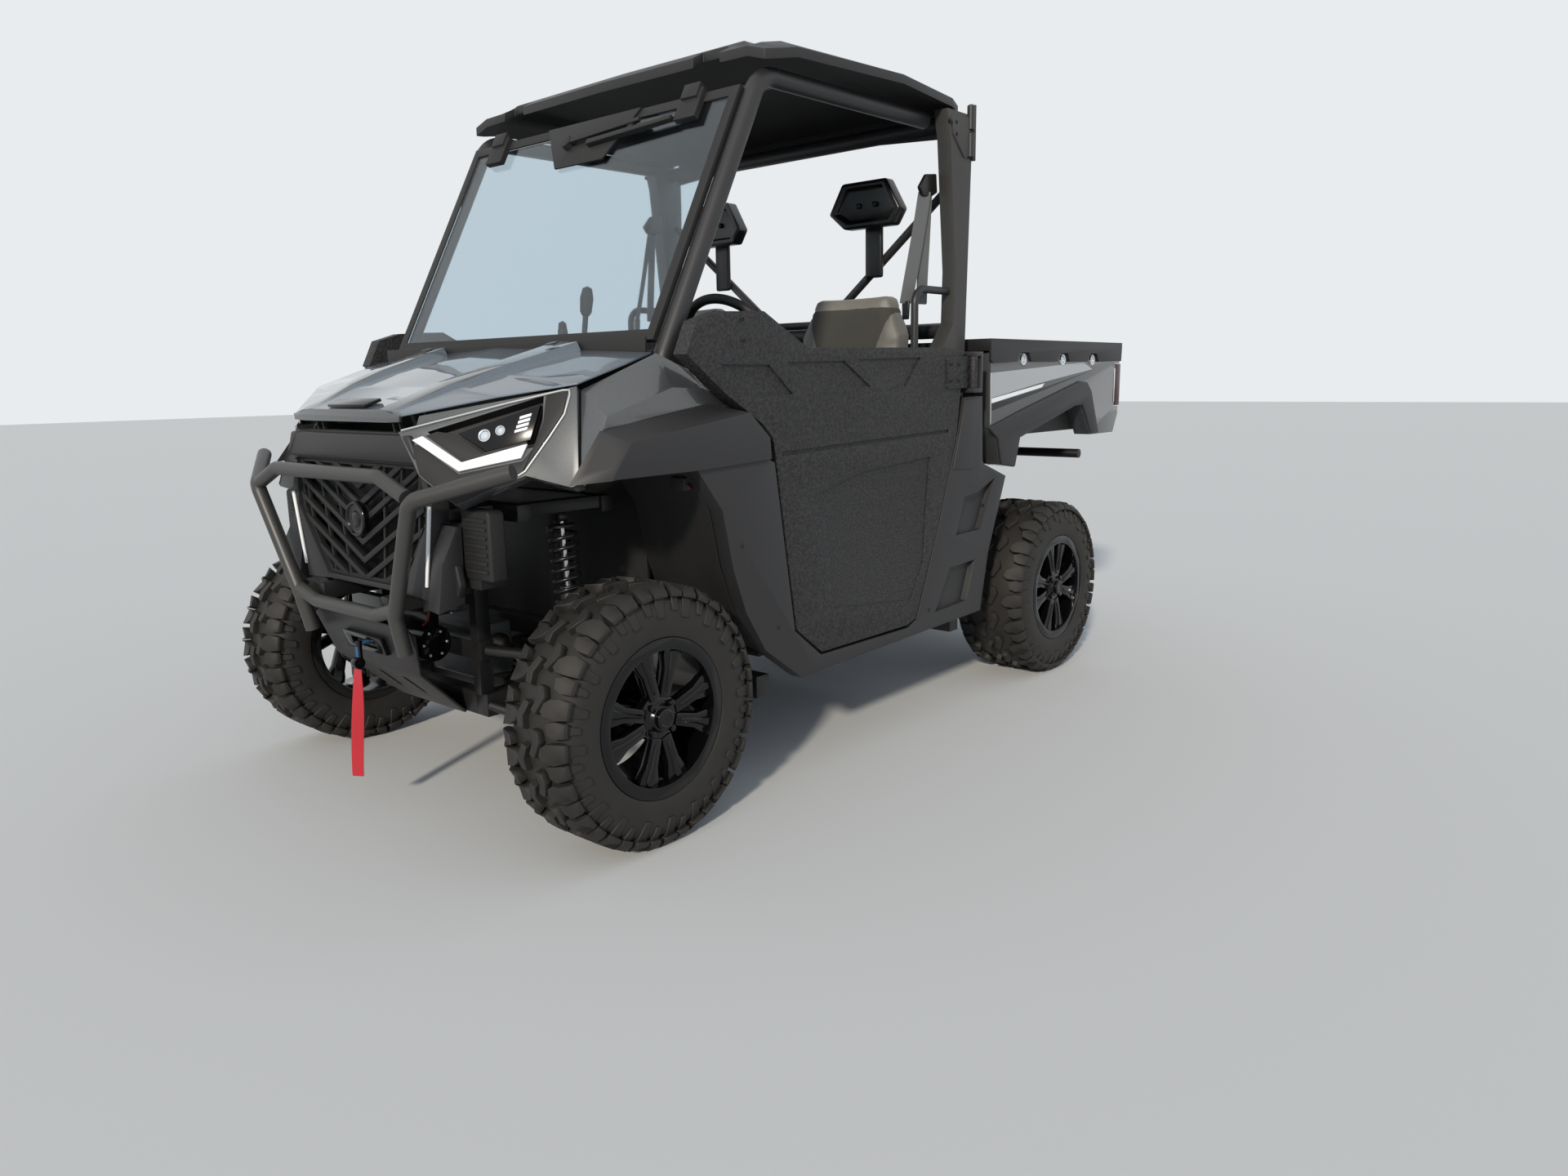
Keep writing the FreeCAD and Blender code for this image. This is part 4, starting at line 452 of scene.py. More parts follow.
def tyre(half):
    """A whole tyre about the origin, turned about X, its outer side toward +X, from half of its width."""
    bead = half - 14
    profile = [
        (bead - 11, 178.5), (bead - 6, 197), (bead + 1, 200), (bead + 6, 212), (half - 9, 236), (half - 8, 262),
        (half - 16, 286), (half - 34, 301), (half * 0.3, 306), (0, 307)]
    profile += [(-a, r) for a, r in reversed(profile[:-1])]
    inner = [
        (-bead + 16, 178.5), (-bead + 20, 205), (-half + 24, 262), (-half + 50, 288), (half - 50, 288),
        (half - 24, 262), (bead - 20, 205), (bead - 16, 178.5)]
    carcass = soften(spun("carcass", profile + inner, 96), 0)
    lugs = []
    for side in (-1, 1):
        shift = 0 if side > 0 else HALF_PITCH
        long_lug = [
            (half - 78, -16, 0), (half - 62, -27, 0), (half - 24, -27, 0), (half - 5, -24, 20),
            (half - 5, 18, 20), (half - 24, 20, 0), (half - 50, 16, 0), (half - 70, 4, 0)]
        short_lug = [
            (half - 46, 36, 0), (half - 24, 30, 0), (half - 6, 32, 18), (half - 6, 66, 18), (half - 24, 68, 0),
            (half - 54, 62, 0)]
        for outline in (long_lug, short_lug):
            moved = [(a * side, b * side + shift, drop) for a, b, drop in outline]
            lugs.append(block_on(moved, 296, 0.97))
        centre = [(4, -30, 0), (22, -38, 0), (44, 2, 0), (34, 26, 0), (14, 30, 0), (20, 2, 0)]
        moved = [(a * side, b * side + shift + 12, drop) for a, b, drop in centre]
        lugs.append(block_on(moved, 303, 0.96))
        # The lug's foot runs down the sidewall as a thick rib.
        for low, high, start, wide in ((248, 312, -20, 32), (262, 312, 36, 24)):
            bpy.ops.mesh.primitive_cube_add(size=1)
            rib = bpy.context.active_object
            for corner in rib.data.vertices:
                top = corner.co.z > 0
                out = corner.co.x > 0
                reach = (half - 3 - (12 if top else 0)) if out else half - 30
                tread = start + (wide if corner.co.y > 0 else 0) * (1.0 if top else 0.8)
                radius = (high - (14 if out else 0)) if top else low
                angle = (tread * side + shift) / TYRE_BASE
                corner.co = (reach * side * MM, radius * MM * math.sin(angle), radius * MM * math.cos(angle))
            lugs.append(soften(edited(rib, face_out), 2, 1))
    ring = [carcass]
    for index in range(PITCHES):
        for lug in lugs:
            copy = added("lug", lug.data.copy())
            copy.data.transform(Matrix.Rotation(2 * math.pi * index / PITCHES, 4, "X"))
            ring.append(copy)
    for lug in lugs:
        bpy.data.objects.remove(lug)
    return joined("tyre_master", ring)


WHEELS, masters = [], {}
for corner, width in (("fl", 229), ("fr", 229), ("rl", 279), ("rr", 279)):
    centre = Vector(joints[f"wheel_{corner}_roll"]["pos_m"]) / MM
    out = 1 if centre.x > 0 else -1
    WHEELS.append((corner, width, centre, out))
    if width not in masters:
        masters[width] = tyre(width / 2)
    piece = added(f"tyre_{corner}_tread", masters[width].data.copy())
    # The right-hand tyres are turned round.
    piece.data.transform(Matrix.Translation(centre * MM) @ Matrix.Rotation(math.pi if out < 0 else 0, 4, "Z"))
    settle(piece, tyre_rubber, "tyre_rubber", f"tyre_{corner}", body=f"wheel_{corner}")
for master in masters.values():
    bpy.data.objects.remove(master)

# Rims: 14 inch cast alloy in gloss black, eight spokes in four pairs, with a cap and four nuts.
# The lacquer is deep and mirror-like, so the facets read by their reflections.


def gloss_lacquer(name, colour):
    """Gloss lacquer over a cast wheel: near mirror, with a very slight waviness 12 mm across."""
    finish = Finish(name, {"Base Color": linear(colour), "Roughness": 0.2, "Specular IOR Level": 0.22,
                           "Coat Weight": 0.3, "Coat Roughness": 0.04})
    finish.bump(finish.noise(12, 1.0), 0.12, 0.3)
    return finish.material


rim_lacquer = gloss_lacquer("rim_gloss_lacquer", "#08080A")
# A finish together with its slot.
GLOSS = (rim_lacquer, "gloss_black")
NUT_CIRCLE = 45
for corner, width, centre, out in WHEELS:
    face = (width / 2 - 28) * out
    dressed(f"rim_{corner}", *GLOSS, 2.2, body=f"wheel_{corner}")
    nuts = []
    for index in range(4):
        angle = math.pi / 4 + index * math.pi / 2
        at = centre + Vector((face, NUT_CIRCLE * math.cos(angle), NUT_CIRCLE * math.sin(angle)))
        bpy.ops.mesh.primitive_cylinder_add(
            vertices=6, radius=9 * MM, depth=20 * MM, rotation=(0, math.pi / 2, 0), location=at * MM)
        nuts.append(soften(bpy.context.active_object, 1.5))
    cap = spun("cap", [(-4, 0), (-4, 27), (9, 26), (12, 22), (12.5, 18), (11, 16), (11, 0)])
    cap.location = (centre + Vector((face + 10 * out, 0, 0))) * MM
    cap.scale.x = out
    nuts.append(soften(cap, 0.8))
    nut_set = soften(joined(f"wheel_nuts_{corner}", nuts), 0)
    settle(nut_set, *GLOSS, body=f"wheel_{corner}")

# The cage: 51 mm tube bent into two side hoops, cross tubes, flat rear pillars and the brace.
# It is powder coated in a satin dark grey, a shade lighter than the frame.
for node in ("cage_sides", "cage_cross", "hip_hoops"):
    dressed(node, cage_coat, "cage_paint", 0)
# The rear pillars take the paler copy of the cage coat, as painted light.
dressed("b_pillars", painted_lit_coat, "cage_paint", 3)
dressed("hinge_brackets", cage_coat, "cage_paint", 1.5)

# The wheels' faces: each pair of spokes is a broad bevelled V that widens to the rim.
# They are the same gloss black casting as the rims.


def slab(name, corners, push, width=0.0, segments=2):
    """A plate: a flat outline in millimetres pushed along a vector in millimetres, its edges rounded."""
    def pull_out():
        bpy.ops.mesh.extrude_region_move(TRANSFORM_OT_translate={"value": Vector(push) * MM})

    return soften(edited(polygon(name, corners), pull_out, face_out), width, segments)


# Outlines of a spoke and of the rib on it: along it from the hub, and to its side.
SPOKE = ((50, -16), (118, -19), (150, -30), (175, -31), (175, 31), (150, 30), (118, 19), (50, 16))
RIB = ((64, -5), (120, -7), (152, -12), (168, -12), (168, 12), (152, 12), (120, 7), (64, 5))
SPOKE_PLATES = (
    # name, outline, start along X, thickness, edge radius, segments of the edge
    ("spoke_face", SPOKE, -8, 23, 4, 2), ("spoke_rib", RIB, 12, 8, 4.5, 1))
for corner, width, centre, out in WHEELS:
    face = (width / 2 - 40) * out
    plates = []
    for index in range(4):
        for lean in (-17, 17):
            turn = math.radians(index * 90 + lean)
            along = Vector((0, math.cos(turn), math.sin(turn)))
            aside = Vector((0, -math.sin(turn), math.cos(turn)))
            for name, outline, start, thick, edge, segments in SPOKE_PLATES:
                base = centre + Vector((face + start * out, 0, 0))
                corners = [base + along * r + aside * a for r, a in outline]
                plates.append(slab(name, corners, (thick * out, 0, 0), edge, segments))
    settle(joined(f"spoke_faces_{corner}", plates), *GLOSS, body=f"wheel_{corner}")

# The floor, firewall, seat box and dashboard: rotomoulded and injection moulded black plastic.
# The mould is grained, so the plastic is matte and breaks up the light.


def moulded_plastic(name, colour, grain, depth, roughness):
    """Moulded polypropylene, dark all through: a pebbled grain from the mould and soft, uneven gloss."""
    finish = Finish(name)
    patches = finish.noise(180, 4.0)
    finish.tint(patches, colour, 1.25, 0.003)
    finish.bump(finish.noise(grain, 2.0, 0.6), 0.6, depth)
    finish.dull(patches, roughness - 0.05, roughness + 0.07)
    return finish.material


body_plastic = moulded_plastic("body_moulded_plastic", "#222224", 1.6, 0.3, 0.5)
dark_plastic = moulded_plastic("cabin_moulded_plastic", "#141415", 2.0, 0.35, 0.6)
BODY, DARK = (body_plastic, "dark_plastic"), (dark_plastic, "dark_plastic")
CABIN = (
    # node, edge radius, segments of the edge
    ("cab_floor", 4, 2), ("seat_base", 6, 2), ("dashboard", 9, 3), ("rear_screen", 2, 2), ("levers", 0, 2))
for node, width, segments in CABIN:
    dressed(node, *DARK, width, segments)
dressed("steering_column", chassis_coat, "frame_enamel", 0)
dressed("steering_wheel", dark_plastic, "vinyl_black", 0, body="steering_wheel")

# The seats: moulded foam in sewn covers, with woven middles, vinyl bolsters and a paler band across the top.
# The foam swells between its seams, and each seam is drawn in a few millimetres.


def cover(name, colour, weave, roughness):
    """Seat cover: woven or grained cloth, its threads drawn in millimetres, dull with a little sheen."""
    finish = Finish(name, {"Roughness": roughness, "Sheen Weight": 0.15})
    threads = finish.cells(weave)
    worn = put(finish.tree, "ShaderNodeMath", {0: finish.noise(90, 4.0), 1: threads}, operation="MULTIPLY")
    finish.tint(worn.outputs[0], colour, 1.5, 0.004)
    finish.bump(threads, 0.6, 0.3)
    return finish.material


def loose_parts(node):
    """The separate solids of a CAD node, each as a piece, from the right-hand side to the left."""
    edited(merged_copy(node), lambda: bpy.ops.mesh.separate(type="LOOSE"))
    return sorted(bpy.context.selected_objects,
        key=lambda part: sum(v.co.x for v in part.data.vertices) / len(part.data.vertices))


def swell(piece, reach, inset=5, pressure=4.0):
    """Swell a foam block, first inset a little, as cloth under pressure, no point moving beyond its reach."""
    select_only(piece)
    for corner in piece.data.vertices:
        corner.co -= corner.normal * inset * MM
    soften(piece, 14, 3)
    shaped(piece, "REMESH", mode="VOXEL", voxel_size=9 * MM)
    rest = [corner.co.copy() for corner in piece.data.vertices]
    cloth = piece.modifiers.new("foam", "CLOTH")
    cloth.settings.use_pressure = True
    cloth.settings.uniform_pressure_force = pressure
    cloth.settings.effector_weights.gravity = 0
    cloth.settings.quality = 5
    cloth.collision_settings.use_collision = False
    for step in range(1, 21):
        bpy.context.scene.frame_set(step)
    bpy.ops.object.modifier_apply(modifier=cloth.name)
    bpy.context.scene.frame_set(1)
    for corner, start in zip(piece.data.vertices, rest):
        way = corner.co - start
        if way.length > reach * MM:
            corner.co = start + way.normalized() * reach * MM
    return piece


def seam(piece, point, normal, depth=3.0, wide=14.0):
    """Cut a seam across a piece in a plane through a point in millimetres, and draw it in."""
    select_only(piece)
    bpy.ops.object.mode_set(mode="EDIT")
    bpy.ops.mesh.select_mode(type="VERT")
    bpy.ops.mesh.select_all(action="SELECT")
    flat = Vector(normal).normalized()
    bpy.ops.mesh.bisect(plane_co=Vector(point) * MM, plane_no=flat)
    bpy.ops.object.mode_set(mode="OBJECT")
    for corner in piece.data.vertices:
        away = abs((corner.co - Vector(point) * MM).dot(flat)) / (wide * MM)
        if away < 1:
            corner.co -= corner.normal * depth * MM * (1 - away) ** 2


def covered(piece, finishes, chosen):
    """Give a piece its finishes, each face the one whose number chosen(centre in millimetres) names."""
    piece.data.materials.clear()
    for finish in finishes:
        piece.data.materials.append(finish)
    for face in piece.data.polygons:
        face.material_index = chosen(face.center / MM)
    select_only(piece)
    bpy.ops.object.shade_smooth()


def bolts(name, places, way, radius, height):
    """Button-headed bolts with a socket, standing on places in millimetres along a way."""
    r, h = radius, height
    profile = [
        (-h, 0), (-h, r), (h * 0.4, r), (h * 0.85, r * 0.75), (h, r * 0.45), (h * 0.4, r * 0.4), (h * 0.4, 0)]
    heads = [aimed(spun(name, profile, 20), place, Vector(place) + Vector(way)) for place in places]
    return soften(joined(name, heads), 0)


woven = cover("woven_seat_cloth", "#3A3935", 2.2, 0.85)
bolster = cover("bolster_vinyl", "#64635F", 1.4, 0.5)
top_band = cover("top_band_vinyl", "#72706C", 1.4, 0.5)
dark_vinyl = cover("black_seat_vinyl", "#191919", 1.4, 0.5)
backs, cushions = [], []
for place, back, cushion in zip((-385, 0, 385), loose_parts("seat_backs"), loose_parts("seat_cushions")):
    half = 160 if place == 0 else 215
    middle, top = (0.45, 1226) if place == 0 else (0.5, 1340)
    swell(back, 13)
    swell(cushion, 15)
    for side in (-1, 1):
        seam(back, (place + half * middle * side, 100, 1180), (1, 0, -0.42 * side))
        seam(cushion, (place + half * 0.56 * side, 0, 800), (1, 0.08 * side, 0))
    seam(back, (place, 100, top), (0, 0, 1))
    for height in (980, 1100):
        seam(back, (place, 100, height), (0, 0.1, 1), 2.0, 10.0)
    for depth in (-210, -70):
        seam(cushion, (place, depth, 800), (0, 1, 0), 2.0, 10.0)

    def back_cover(centre):
        aside = abs(centre.x - place) - half * middle - 0.42 * (centre.z - 1180)
        return 2 if centre.z > top and aside < 0 else 1 if aside > 0 else 0

    def cushion_cover(centre):
        return 1 if abs(centre.x - place) - half * 0.56 > 0.08 * centre.y else 0

    finishes = [dark_vinyl, dark_vinyl, bolster] if place == 0 else [woven, bolster, top_band]
    covered(back, finishes, back_cover)
    covered(cushion, finishes, cushion_cover)
    backs.append(back)
    cushions.append(cushion)
seat_backs = settle(joined("padded_seat_backs", backs), None, "vinyl_grey", "seat_backs")
seat_cushions = settle(joined("padded_seat_cushions", cushions), None, "vinyl_black", "seat_cushions")
black_steel = powder_coat("black_oxide_steel", "#101011", 0.35)
satin_black = moulded_plastic("satin_black_plastic", "#0E0E0F", 1.2, 0.08, 0.28)
dressed("headrests", satin_black, "dark_plastic", 9, 3)
dish = [(side * 356 + step, 268, 1686) for side in (-1, 1) for step in (-33, 33)]
settle(bolts("headrest_bolts", dish, (0, -1, 0), 9, 4), black_steel, "bare_metal")
GRIPS = (
    # foot, head, radius, length
    ((50, -699, 1306), (50, -687, 1386), 17, 86), ((-60, -700, 1215), (-60, -698, 1292), 13, 82))
grips = []
for foot, head, r, long in GRIPS:
    profile = [(0, 0), (0, r * 0.6), (12, r), (long * 0.6, r * 1.15), (long * 0.92, r * 0.8), (long, 0)]
    grips.append(aimed(spun("grip", profile, 32), foot, head))
settle(soften(joined("lever_grips", grips), 0), boot_rubber, "vinyl_black")

# The seat belts: grey webbing from the guide on each rear pillar down to the reel.
# The loose run hangs in front of the pillar and carries the latch.


def webbing(name, colour):
    """Woven nylon webbing: herringbone ribs 2.2 mm apart, dull, with a slight sheen along the weave."""
    finish = Finish(name, {"Roughness": 0.75, "Sheen Weight": 0.3})
    ribs = finish.lines(2.2, "Z", 0.6, 1.0)
    finish.tint(ribs, colour, 1.35, 0.004)
    finish.bump(ribs, 0.6, 0.4)
    return finish.material


def strap(name, path, width, thick):
    """A smoothed strap along (point, twist in degrees) stations, its flat side toward -Y at no twist."""
    corners, faces = [], []
    for point, twist in path:
        turn = math.radians(twist)
        side = Vector((math.cos(turn), math.sin(turn), 0)) * width / 2
        deep = Vector((-math.sin(turn), math.cos(turn), 0)) * thick / 2
        corners += [(Vector(point) + side * a + deep * b) * MM
            for a, b in ((-1, -1), (1, -1), (1, 1), (-1, 1))]
    for step in range(len(path) - 1):
        base = step * 4
        faces += [(base + a, base + (a + 1) % 4, base + 4 + (a + 1) % 4, base + 4 + a) for a in range(4)]
    faces += [(3, 2, 1, 0), tuple(len(corners) - 4 + a for a in range(4))]
    mesh = bpy.data.meshes.new(name)
    mesh.from_pydata(corners, [], faces)
    piece = added(name, mesh)
    select_only(piece)
    shaped(piece, "BEVEL", width=thick * 0.3 * MM, angle_limit=math.radians(60))
    shaped(piece, "SUBSURF", levels=2)
    return soften(piece, 0)


BELT_RUNS = (
    # twist of the webbing, stations from the guide down
    (62, ((632, 204, 1690), (632, 184, 1610), (629, 156, 1500), (627, 130, 1410), (626, 112, 1345))),
    (76, ((633, 214, 1688), (633, 208, 1600), (633, 200, 1500), (633, 192, 1420), (634, 188, 1345))))
GUIDE = ((168, 1700), (205, 1742), (262, 1750), (268, 1692), (225, 1672), (186, 1676))
LATCH = ((612, 108, 1352), (640, 108, 1352), (638, 106, 1296), (615, 106, 1296))
belts, fittings = [], []
for side in (-1, 1):
    runs = [[((638.5 * side, 328, z), 90) for z in (1297, 1400, 1550, 1700, 1759)]]
    runs += [[((x * side, y, z), twist * side) for x, y, z in stations] for twist, stations in BELT_RUNS]
    belts += [strap("belt", run, 46, 1.8) for run in runs]
    guide = [(639.5 * side, y, z) for y, z in GUIDE]
    fittings.append(slab("belt_guide", guide, (-15 * side, 0, 0), 5, 3))
    latch = [(x * side, y, z) for x, y, z in LATCH]
    fittings.append(slab("belt_latch", latch, (0, 9, 0), 3, 3))
grey_webbing = webbing("grey_belt_webbing", "#56585A")
seat_belts = settle(joined("seat_belt_webbing", belts), grey_webbing, "webbing", "seat_belts")
settle(joined("seat_belt_fittings", fittings), satin_black, "dark_plastic")

# The windscreen: laminated glass in a black frame, hinged under the roof, with a wiper at its top.
# The glass is 6 mm thick, clear with a blue-green tint and a hard reflection.
glass = Finish("laminated_glass",
    {"Base Color": linear("#C4D6E0"), "Roughness": 0.02, "Transmission Weight": 1.0, "IOR": 1.5})
dressed("screen_frame", *DARK)
dressed("screen_glass", glass.material, "glass", 0)
dressed("wiper", *DARK, 1.5)
cowl = slab(
    "screen_cowl", [(-596, -972, 1150), (596, -972, 1150), (598, -972, 1224), (-598, -972, 1224)], (0, 6, 0), 1)
settle(cowl, *DARK)

# The roof: one rotomoulded sheet of black plastic with a raised field, turned down at its edges.
# Its underside is coloured near black as painted shade, and a skirt closes its rear edge.


def split_off(piece, name, chosen):
    """Part from a piece the faces for which chosen(centre in millimetres, normal) holds."""
    select_only(piece)
    bpy.ops.object.mode_set(mode="EDIT")
    bpy.ops.mesh.select_mode(type="FACE")
    bpy.ops.mesh.select_all(action="DESELECT")
    bpy.ops.object.mode_set(mode="OBJECT")
    for face in piece.data.polygons:
        face.select = bool(chosen(face.center / MM, face.normal))
    bpy.ops.object.mode_set(mode="EDIT")
    bpy.ops.mesh.separate(type="SELECTED")
    bpy.ops.object.mode_set(mode="OBJECT")
    parted = [other for other in bpy.context.selected_objects if other != piece][0]
    parted.name = name
    return parted


roof_plastic = moulded_plastic("roof_moulded_plastic", "#1D1D1F", 2.2, 0.35, 0.48)
roof = soften(merged_copy("roof"), 7, 3)
# The faces that look down are parted off, and their near-black plastic is painted shade under the roof.
shaded_underside = split_off(roof, "roof_underside_shade", lambda centre, normal: normal.z < -0.4)
settle(roof, roof_plastic, "roof_plastic", "roof")
settle(shaded_underside, moulded_plastic("roof_underside_painted_shade", "#070708", 2.2, 0.35, 0.8), "dark_plastic")
SKIRT = ((-600, 1868), (-300, 1888), (0, 1897), (300, 1888), (600, 1868), (600, 1960), (-600, 1960))
skirt = slab("roof_rear_skirt", [(x, 336, z) for x, z in SKIRT], (0, 6, 0), 2)
settle(skirt, roof_plastic, "roof_plastic")

# The nose: fascia, grille and lamps round the radiator, then fenders, flares and the hood.
# The hood and the fenders are painted, and the rest is black plastic, glass and a little chrome.


def both_sides(pieces):
    """The same pieces again on the right-hand side, as mirror images."""
    twins = []
    for piece in pieces:
        twin = added(piece.name, piece.data.copy())
        twin.data.transform(Matrix.Scale(-1, 4, (1, 0, 0)))
        twin.data.flip_normals()
        twins.append(twin)
    return pieces + twins


def paired(name, pieces, material, slot, body="chassis"):
    """Join pieces on the left with their mirror images on the right, and settle them as one."""
    return settle(joined(name, both_sides(pieces)), material, slot, body=body)


def metallic_paint(name, colour, flake):
    """Metallic paint under clear lacquer: deep gloss, with flakes drawn 1.2 mm across so that they show."""
    finish = Finish(name, {"Metallic": 0.55, "Roughness": 0.36, "Coat Weight": 1.0, "Coat Roughness": 0.03})
    flakes = finish.span(finish.cells(1.2, "Color"), 0.0, 1.0)
    finish.tint(flakes, colour, 1 + flake, 0)
    finish.bump(finish.noise(9, 1.0), 0.08, 0.25, "Coat Normal")
    return finish.material


hood_paint = metallic_paint("gunmetal_metallic_paint", "#59636D", 0.5)
silver_paint = metallic_paint("silver_metallic_paint", "#505254", 0.4)
SILVER = (silver_paint, "body_silver")
edge_silver = metallic_paint("bright_silver_paint", "#A9ACAE", 0.2)
# The lamp's raked plane: a point on it, its way outward and up, and its way forward out of the plane.
LAMP_ORIGIN = Vector((260, -1440, 1020))
LAMP_OUT = Vector((0.8715, 0.4903, 0))
LAMP_UP = Vector((-0.188, 0.3341, 0.9236))
LAMP_FACE = Vector((0.4529, -0.805, 0.3833))
RECESS = ((66, -12), (346, 74), (350, 10), (336, -50), (168, -84))


def on_lamp(u, v, depth=0.0):
    """A point in millimetres on the left lamp's raked plane: u outward, v up the plane, depth into it."""
    return LAMP_ORIGIN + LAMP_OUT * u + LAMP_UP * v - LAMP_FACE * depth


def lamp_slab(name, corners, start, depth, width=0.0):
    """A plate on the lamp's plane, from one depth to another."""
    return slab(name, [on_lamp(u, v, start) for u, v in corners], LAMP_FACE * (start - depth), width)


def on_plane(centre):
    """Where a point on either side lies on the lamp's plane: u outward, v up the plane, and its depth."""
    point = Vector((abs(centre.x), centre.y, centre.z)) - LAMP_ORIGIN
    return point.dot(LAMP_OUT), point.dot(LAMP_UP), -point.dot(LAMP_FACE)


def in_recess(centre, normal):
    """Whether a face of the fascia lies in the lamp's recess, on either side."""
    u, v, depth = on_plane(centre)
    ring = zip(RECESS, RECESS[1:] + RECESS[:1])
    inside = all((u - a[0]) * (b[1] - a[1]) - (v - a[1]) * (b[0] - a[0]) > -400 for a, b in ring)
    return depth > 1.2 and inside


def in_corner(centre, normal):
    """Whether a face of the fascia belongs to the lamp's surround."""
    u, v, depth = on_plane(centre)
    return u > -12 and -195 < v < 102 and -2 < depth < 41 and centre.z > 845


radiator = soften(merged_copy("radiator"), 3, 3)
tanks = split_off(radiator, "radiator_tanks", lambda centre, normal: abs(centre.x) > 299)
settle(tanks, *DARK)
fins = Finish("radiator_fins", {"Base Color": linear("#2B2C2E"), "Metallic": 0.8, "Roughness": 0.5})
# The fins stand 3 mm apart.
fins.bump(fins.lines(3, "Z"), 1.0, 2)
settle(radiator, fins.material, "cast_alloy", "radiator")
fascia = soften(merged_copy("fascia"), 3, 3)
recess = split_off(fascia, "lamp_recess", in_recess)
surround = split_off(fascia, "lamp_surround", in_corner)
settle(fascia, *BODY, "fascia")
settle(recess, *DARK)
settle(surround, *SILVER)
SHROUDS = (
    # name, outline on the lamp's plane, start, edge radius
    ("shroud_outer", ((352, 74), (404, 84), (398, 28), (318, -104), (334, -52), (352, 8)), -2.5, 2),
    ("shroud_lower", (
        (30, -46), (62, -118), (160, -187), (316, -115), (334, -56), (312, -84), (160, -116),
        (50, -44)), -4, 2),
    ("shroud_inner", (
        (64, -22), (92, -12), (134, -18), (212, -64), (318, -36), (320, -46), (166, -86)), -3, 1.5))
shroud = [lamp_slab(name, outline, start, 4, edge) for name, outline, start, edge in SHROUDS]
paired("lamp_shrouds", shroud, *DARK)
cheek = slab("lamp_cheek", [
    on_lamp(34, 0, 1), on_lamp(404, 91, 1), (600, -1204, 1104), (450, -1306, 1076), (296, -1416, 1046)],
    LAMP_FACE * -6, 1.5)
paired("lamp_cheeks", [cheek], *SILVER)
dam = slab(
    "air_dam", [(-345, -1391, 802), (345, -1391, 802), (345, -1391, 1000), (-345, -1391, 1000)], (0, 6, 0))
settle(dam, *DARK)
PIPING = (
    (0, -9), (120, 21), (260, 56), (392, 86), (408, 86), (410, 74), (402, 28), (372, -26), (322, -108),
    (306, -119))
piping = wire("lamp_piping", [on_lamp(u, v, -1.5) for u, v in PIPING], 3)
paired("lamp_pipings", [piping], edge_silver, "body_silver")
brow = slab("nose_brow", [
    (-290, -1428, 1001), (290, -1428, 1001), (318, -1428, 948), (300, -1428, 936), (-300, -1428, 936),
    (-318, -1428, 948)], (0, -19, 0), 6, 3)
settle(brow, *BODY)
dressed("grille", *DARK)
BOSS = [(0, 0), (0, 46), (12, 46), (15, 43), (15, 39), (10, 36), (9, 22), (13, 18), (14, 0)]
boss = aimed(spun("grille_boss", BOSS), (0, -1428, 784), (0, -2428, 784))
settle(soften(boss, 1), *GLOSS)
cooler = [slab("cooler_box", [
    (384, -1338, 664), (497, -1338, 664), (497, -1338, 822), (489, -1338, 830), (384, -1338, 830)],
    (0, -44, 0), 6, 3)]
for z in range(682, 812, 20):
    rib = [(398, -1383, z), (484, -1383, z), (484, -1383, z + 9), (398, -1383, z + 9)]
    cooler.append(slab("cooler_rib", rib, (0, -3, 0), 1.5))
cooler.append(slab("air_guide", [
    (236, -1412, 566), (376, -1412, 592), (409, -1412, 650), (396, -1412, 700), (300, -1412, 690),
    (246, -1412, 640)], (0, 20, 0), 5, 3))
paired("cooler_boxes", cooler, *DARK)
dressed("headlamps", rim_lacquer, "lamp")
white_lens = moulded_plastic("white_lamp_strip", "#F2F5F7", 3.0, 0.05, 0.25)
chrome = turned_steel("bright_chrome", "#E4E6E8", 0.12)
bars = []
for row in range(4):
    up = 11 * row
    bar = [(281 + 3 * row, up - 14), (312 + 2 * row, up - 6), (313 + 2 * row, up + 1), (282 + 3 * row, up - 7)]
    bars.append(lamp_slab("lamp_bar", bar, 4, 9, 1))
paired("lamp_bars", bars, white_lens, "lamp")
rings, eyes = [], []
for u, v, radius in ((208, -20, 15), (246, -8, 12)):
    at = on_lamp(u, v, 8)
    ring = [(-2, radius * 0.8), (3, radius * 0.8), (4, radius), (-2, radius)]
    dome = [(-1, 0), (-1, radius * 0.8), (2, radius * 0.7), (4.5, radius * 0.4), (5.5, 0)]
    rings.append(aimed(spun("ring", ring, 40), at, at + LAMP_FACE))
    eyes.append(aimed(spun("lens_dome", dome, 40), at, at + LAMP_FACE))
paired("lamp_rings", [soften(joined("rings", rings), 0)], chrome, "bare_metal")
projector = gloss_lacquer("lamp_projector_glass", "#C9D6E2")
paired("lamp_projectors", [soften(joined("eyes", eyes), 0)], projector, "lamp")
dressed("running_lights", white_lens, "lamp")
dressed("front_fenders", *SILVER, 5, 3)
dressed("front_flares", *BODY, 5, 3)
dressed("wheel_arches", *DARK)
RIDGE = (
    # station, inner and outer place of the hood's ridge
    (-1443, 168, 222), (-1308, 206, 268), (-1198, 236, 304), (-983, 262, 352))


def on_ridge(centre, normal):
    """Whether a face of the hood is on the flat of a ridge or on the lip over the nose."""
    if centre.y < -1437 and centre.z > 1030:
        return True
    for (near, inner, outer), (far, inner_far, outer_far) in zip(RIDGE, RIDGE[1:]):
        if near <= centre.y <= far:
            share = (centre.y - near) / (far - near)
            low, high = inner + share * (inner_far - inner), outer + share * (outer_far - outer)
            return normal.z > 0.2 and low - 3 < abs(centre.x) < high + 2
    return False


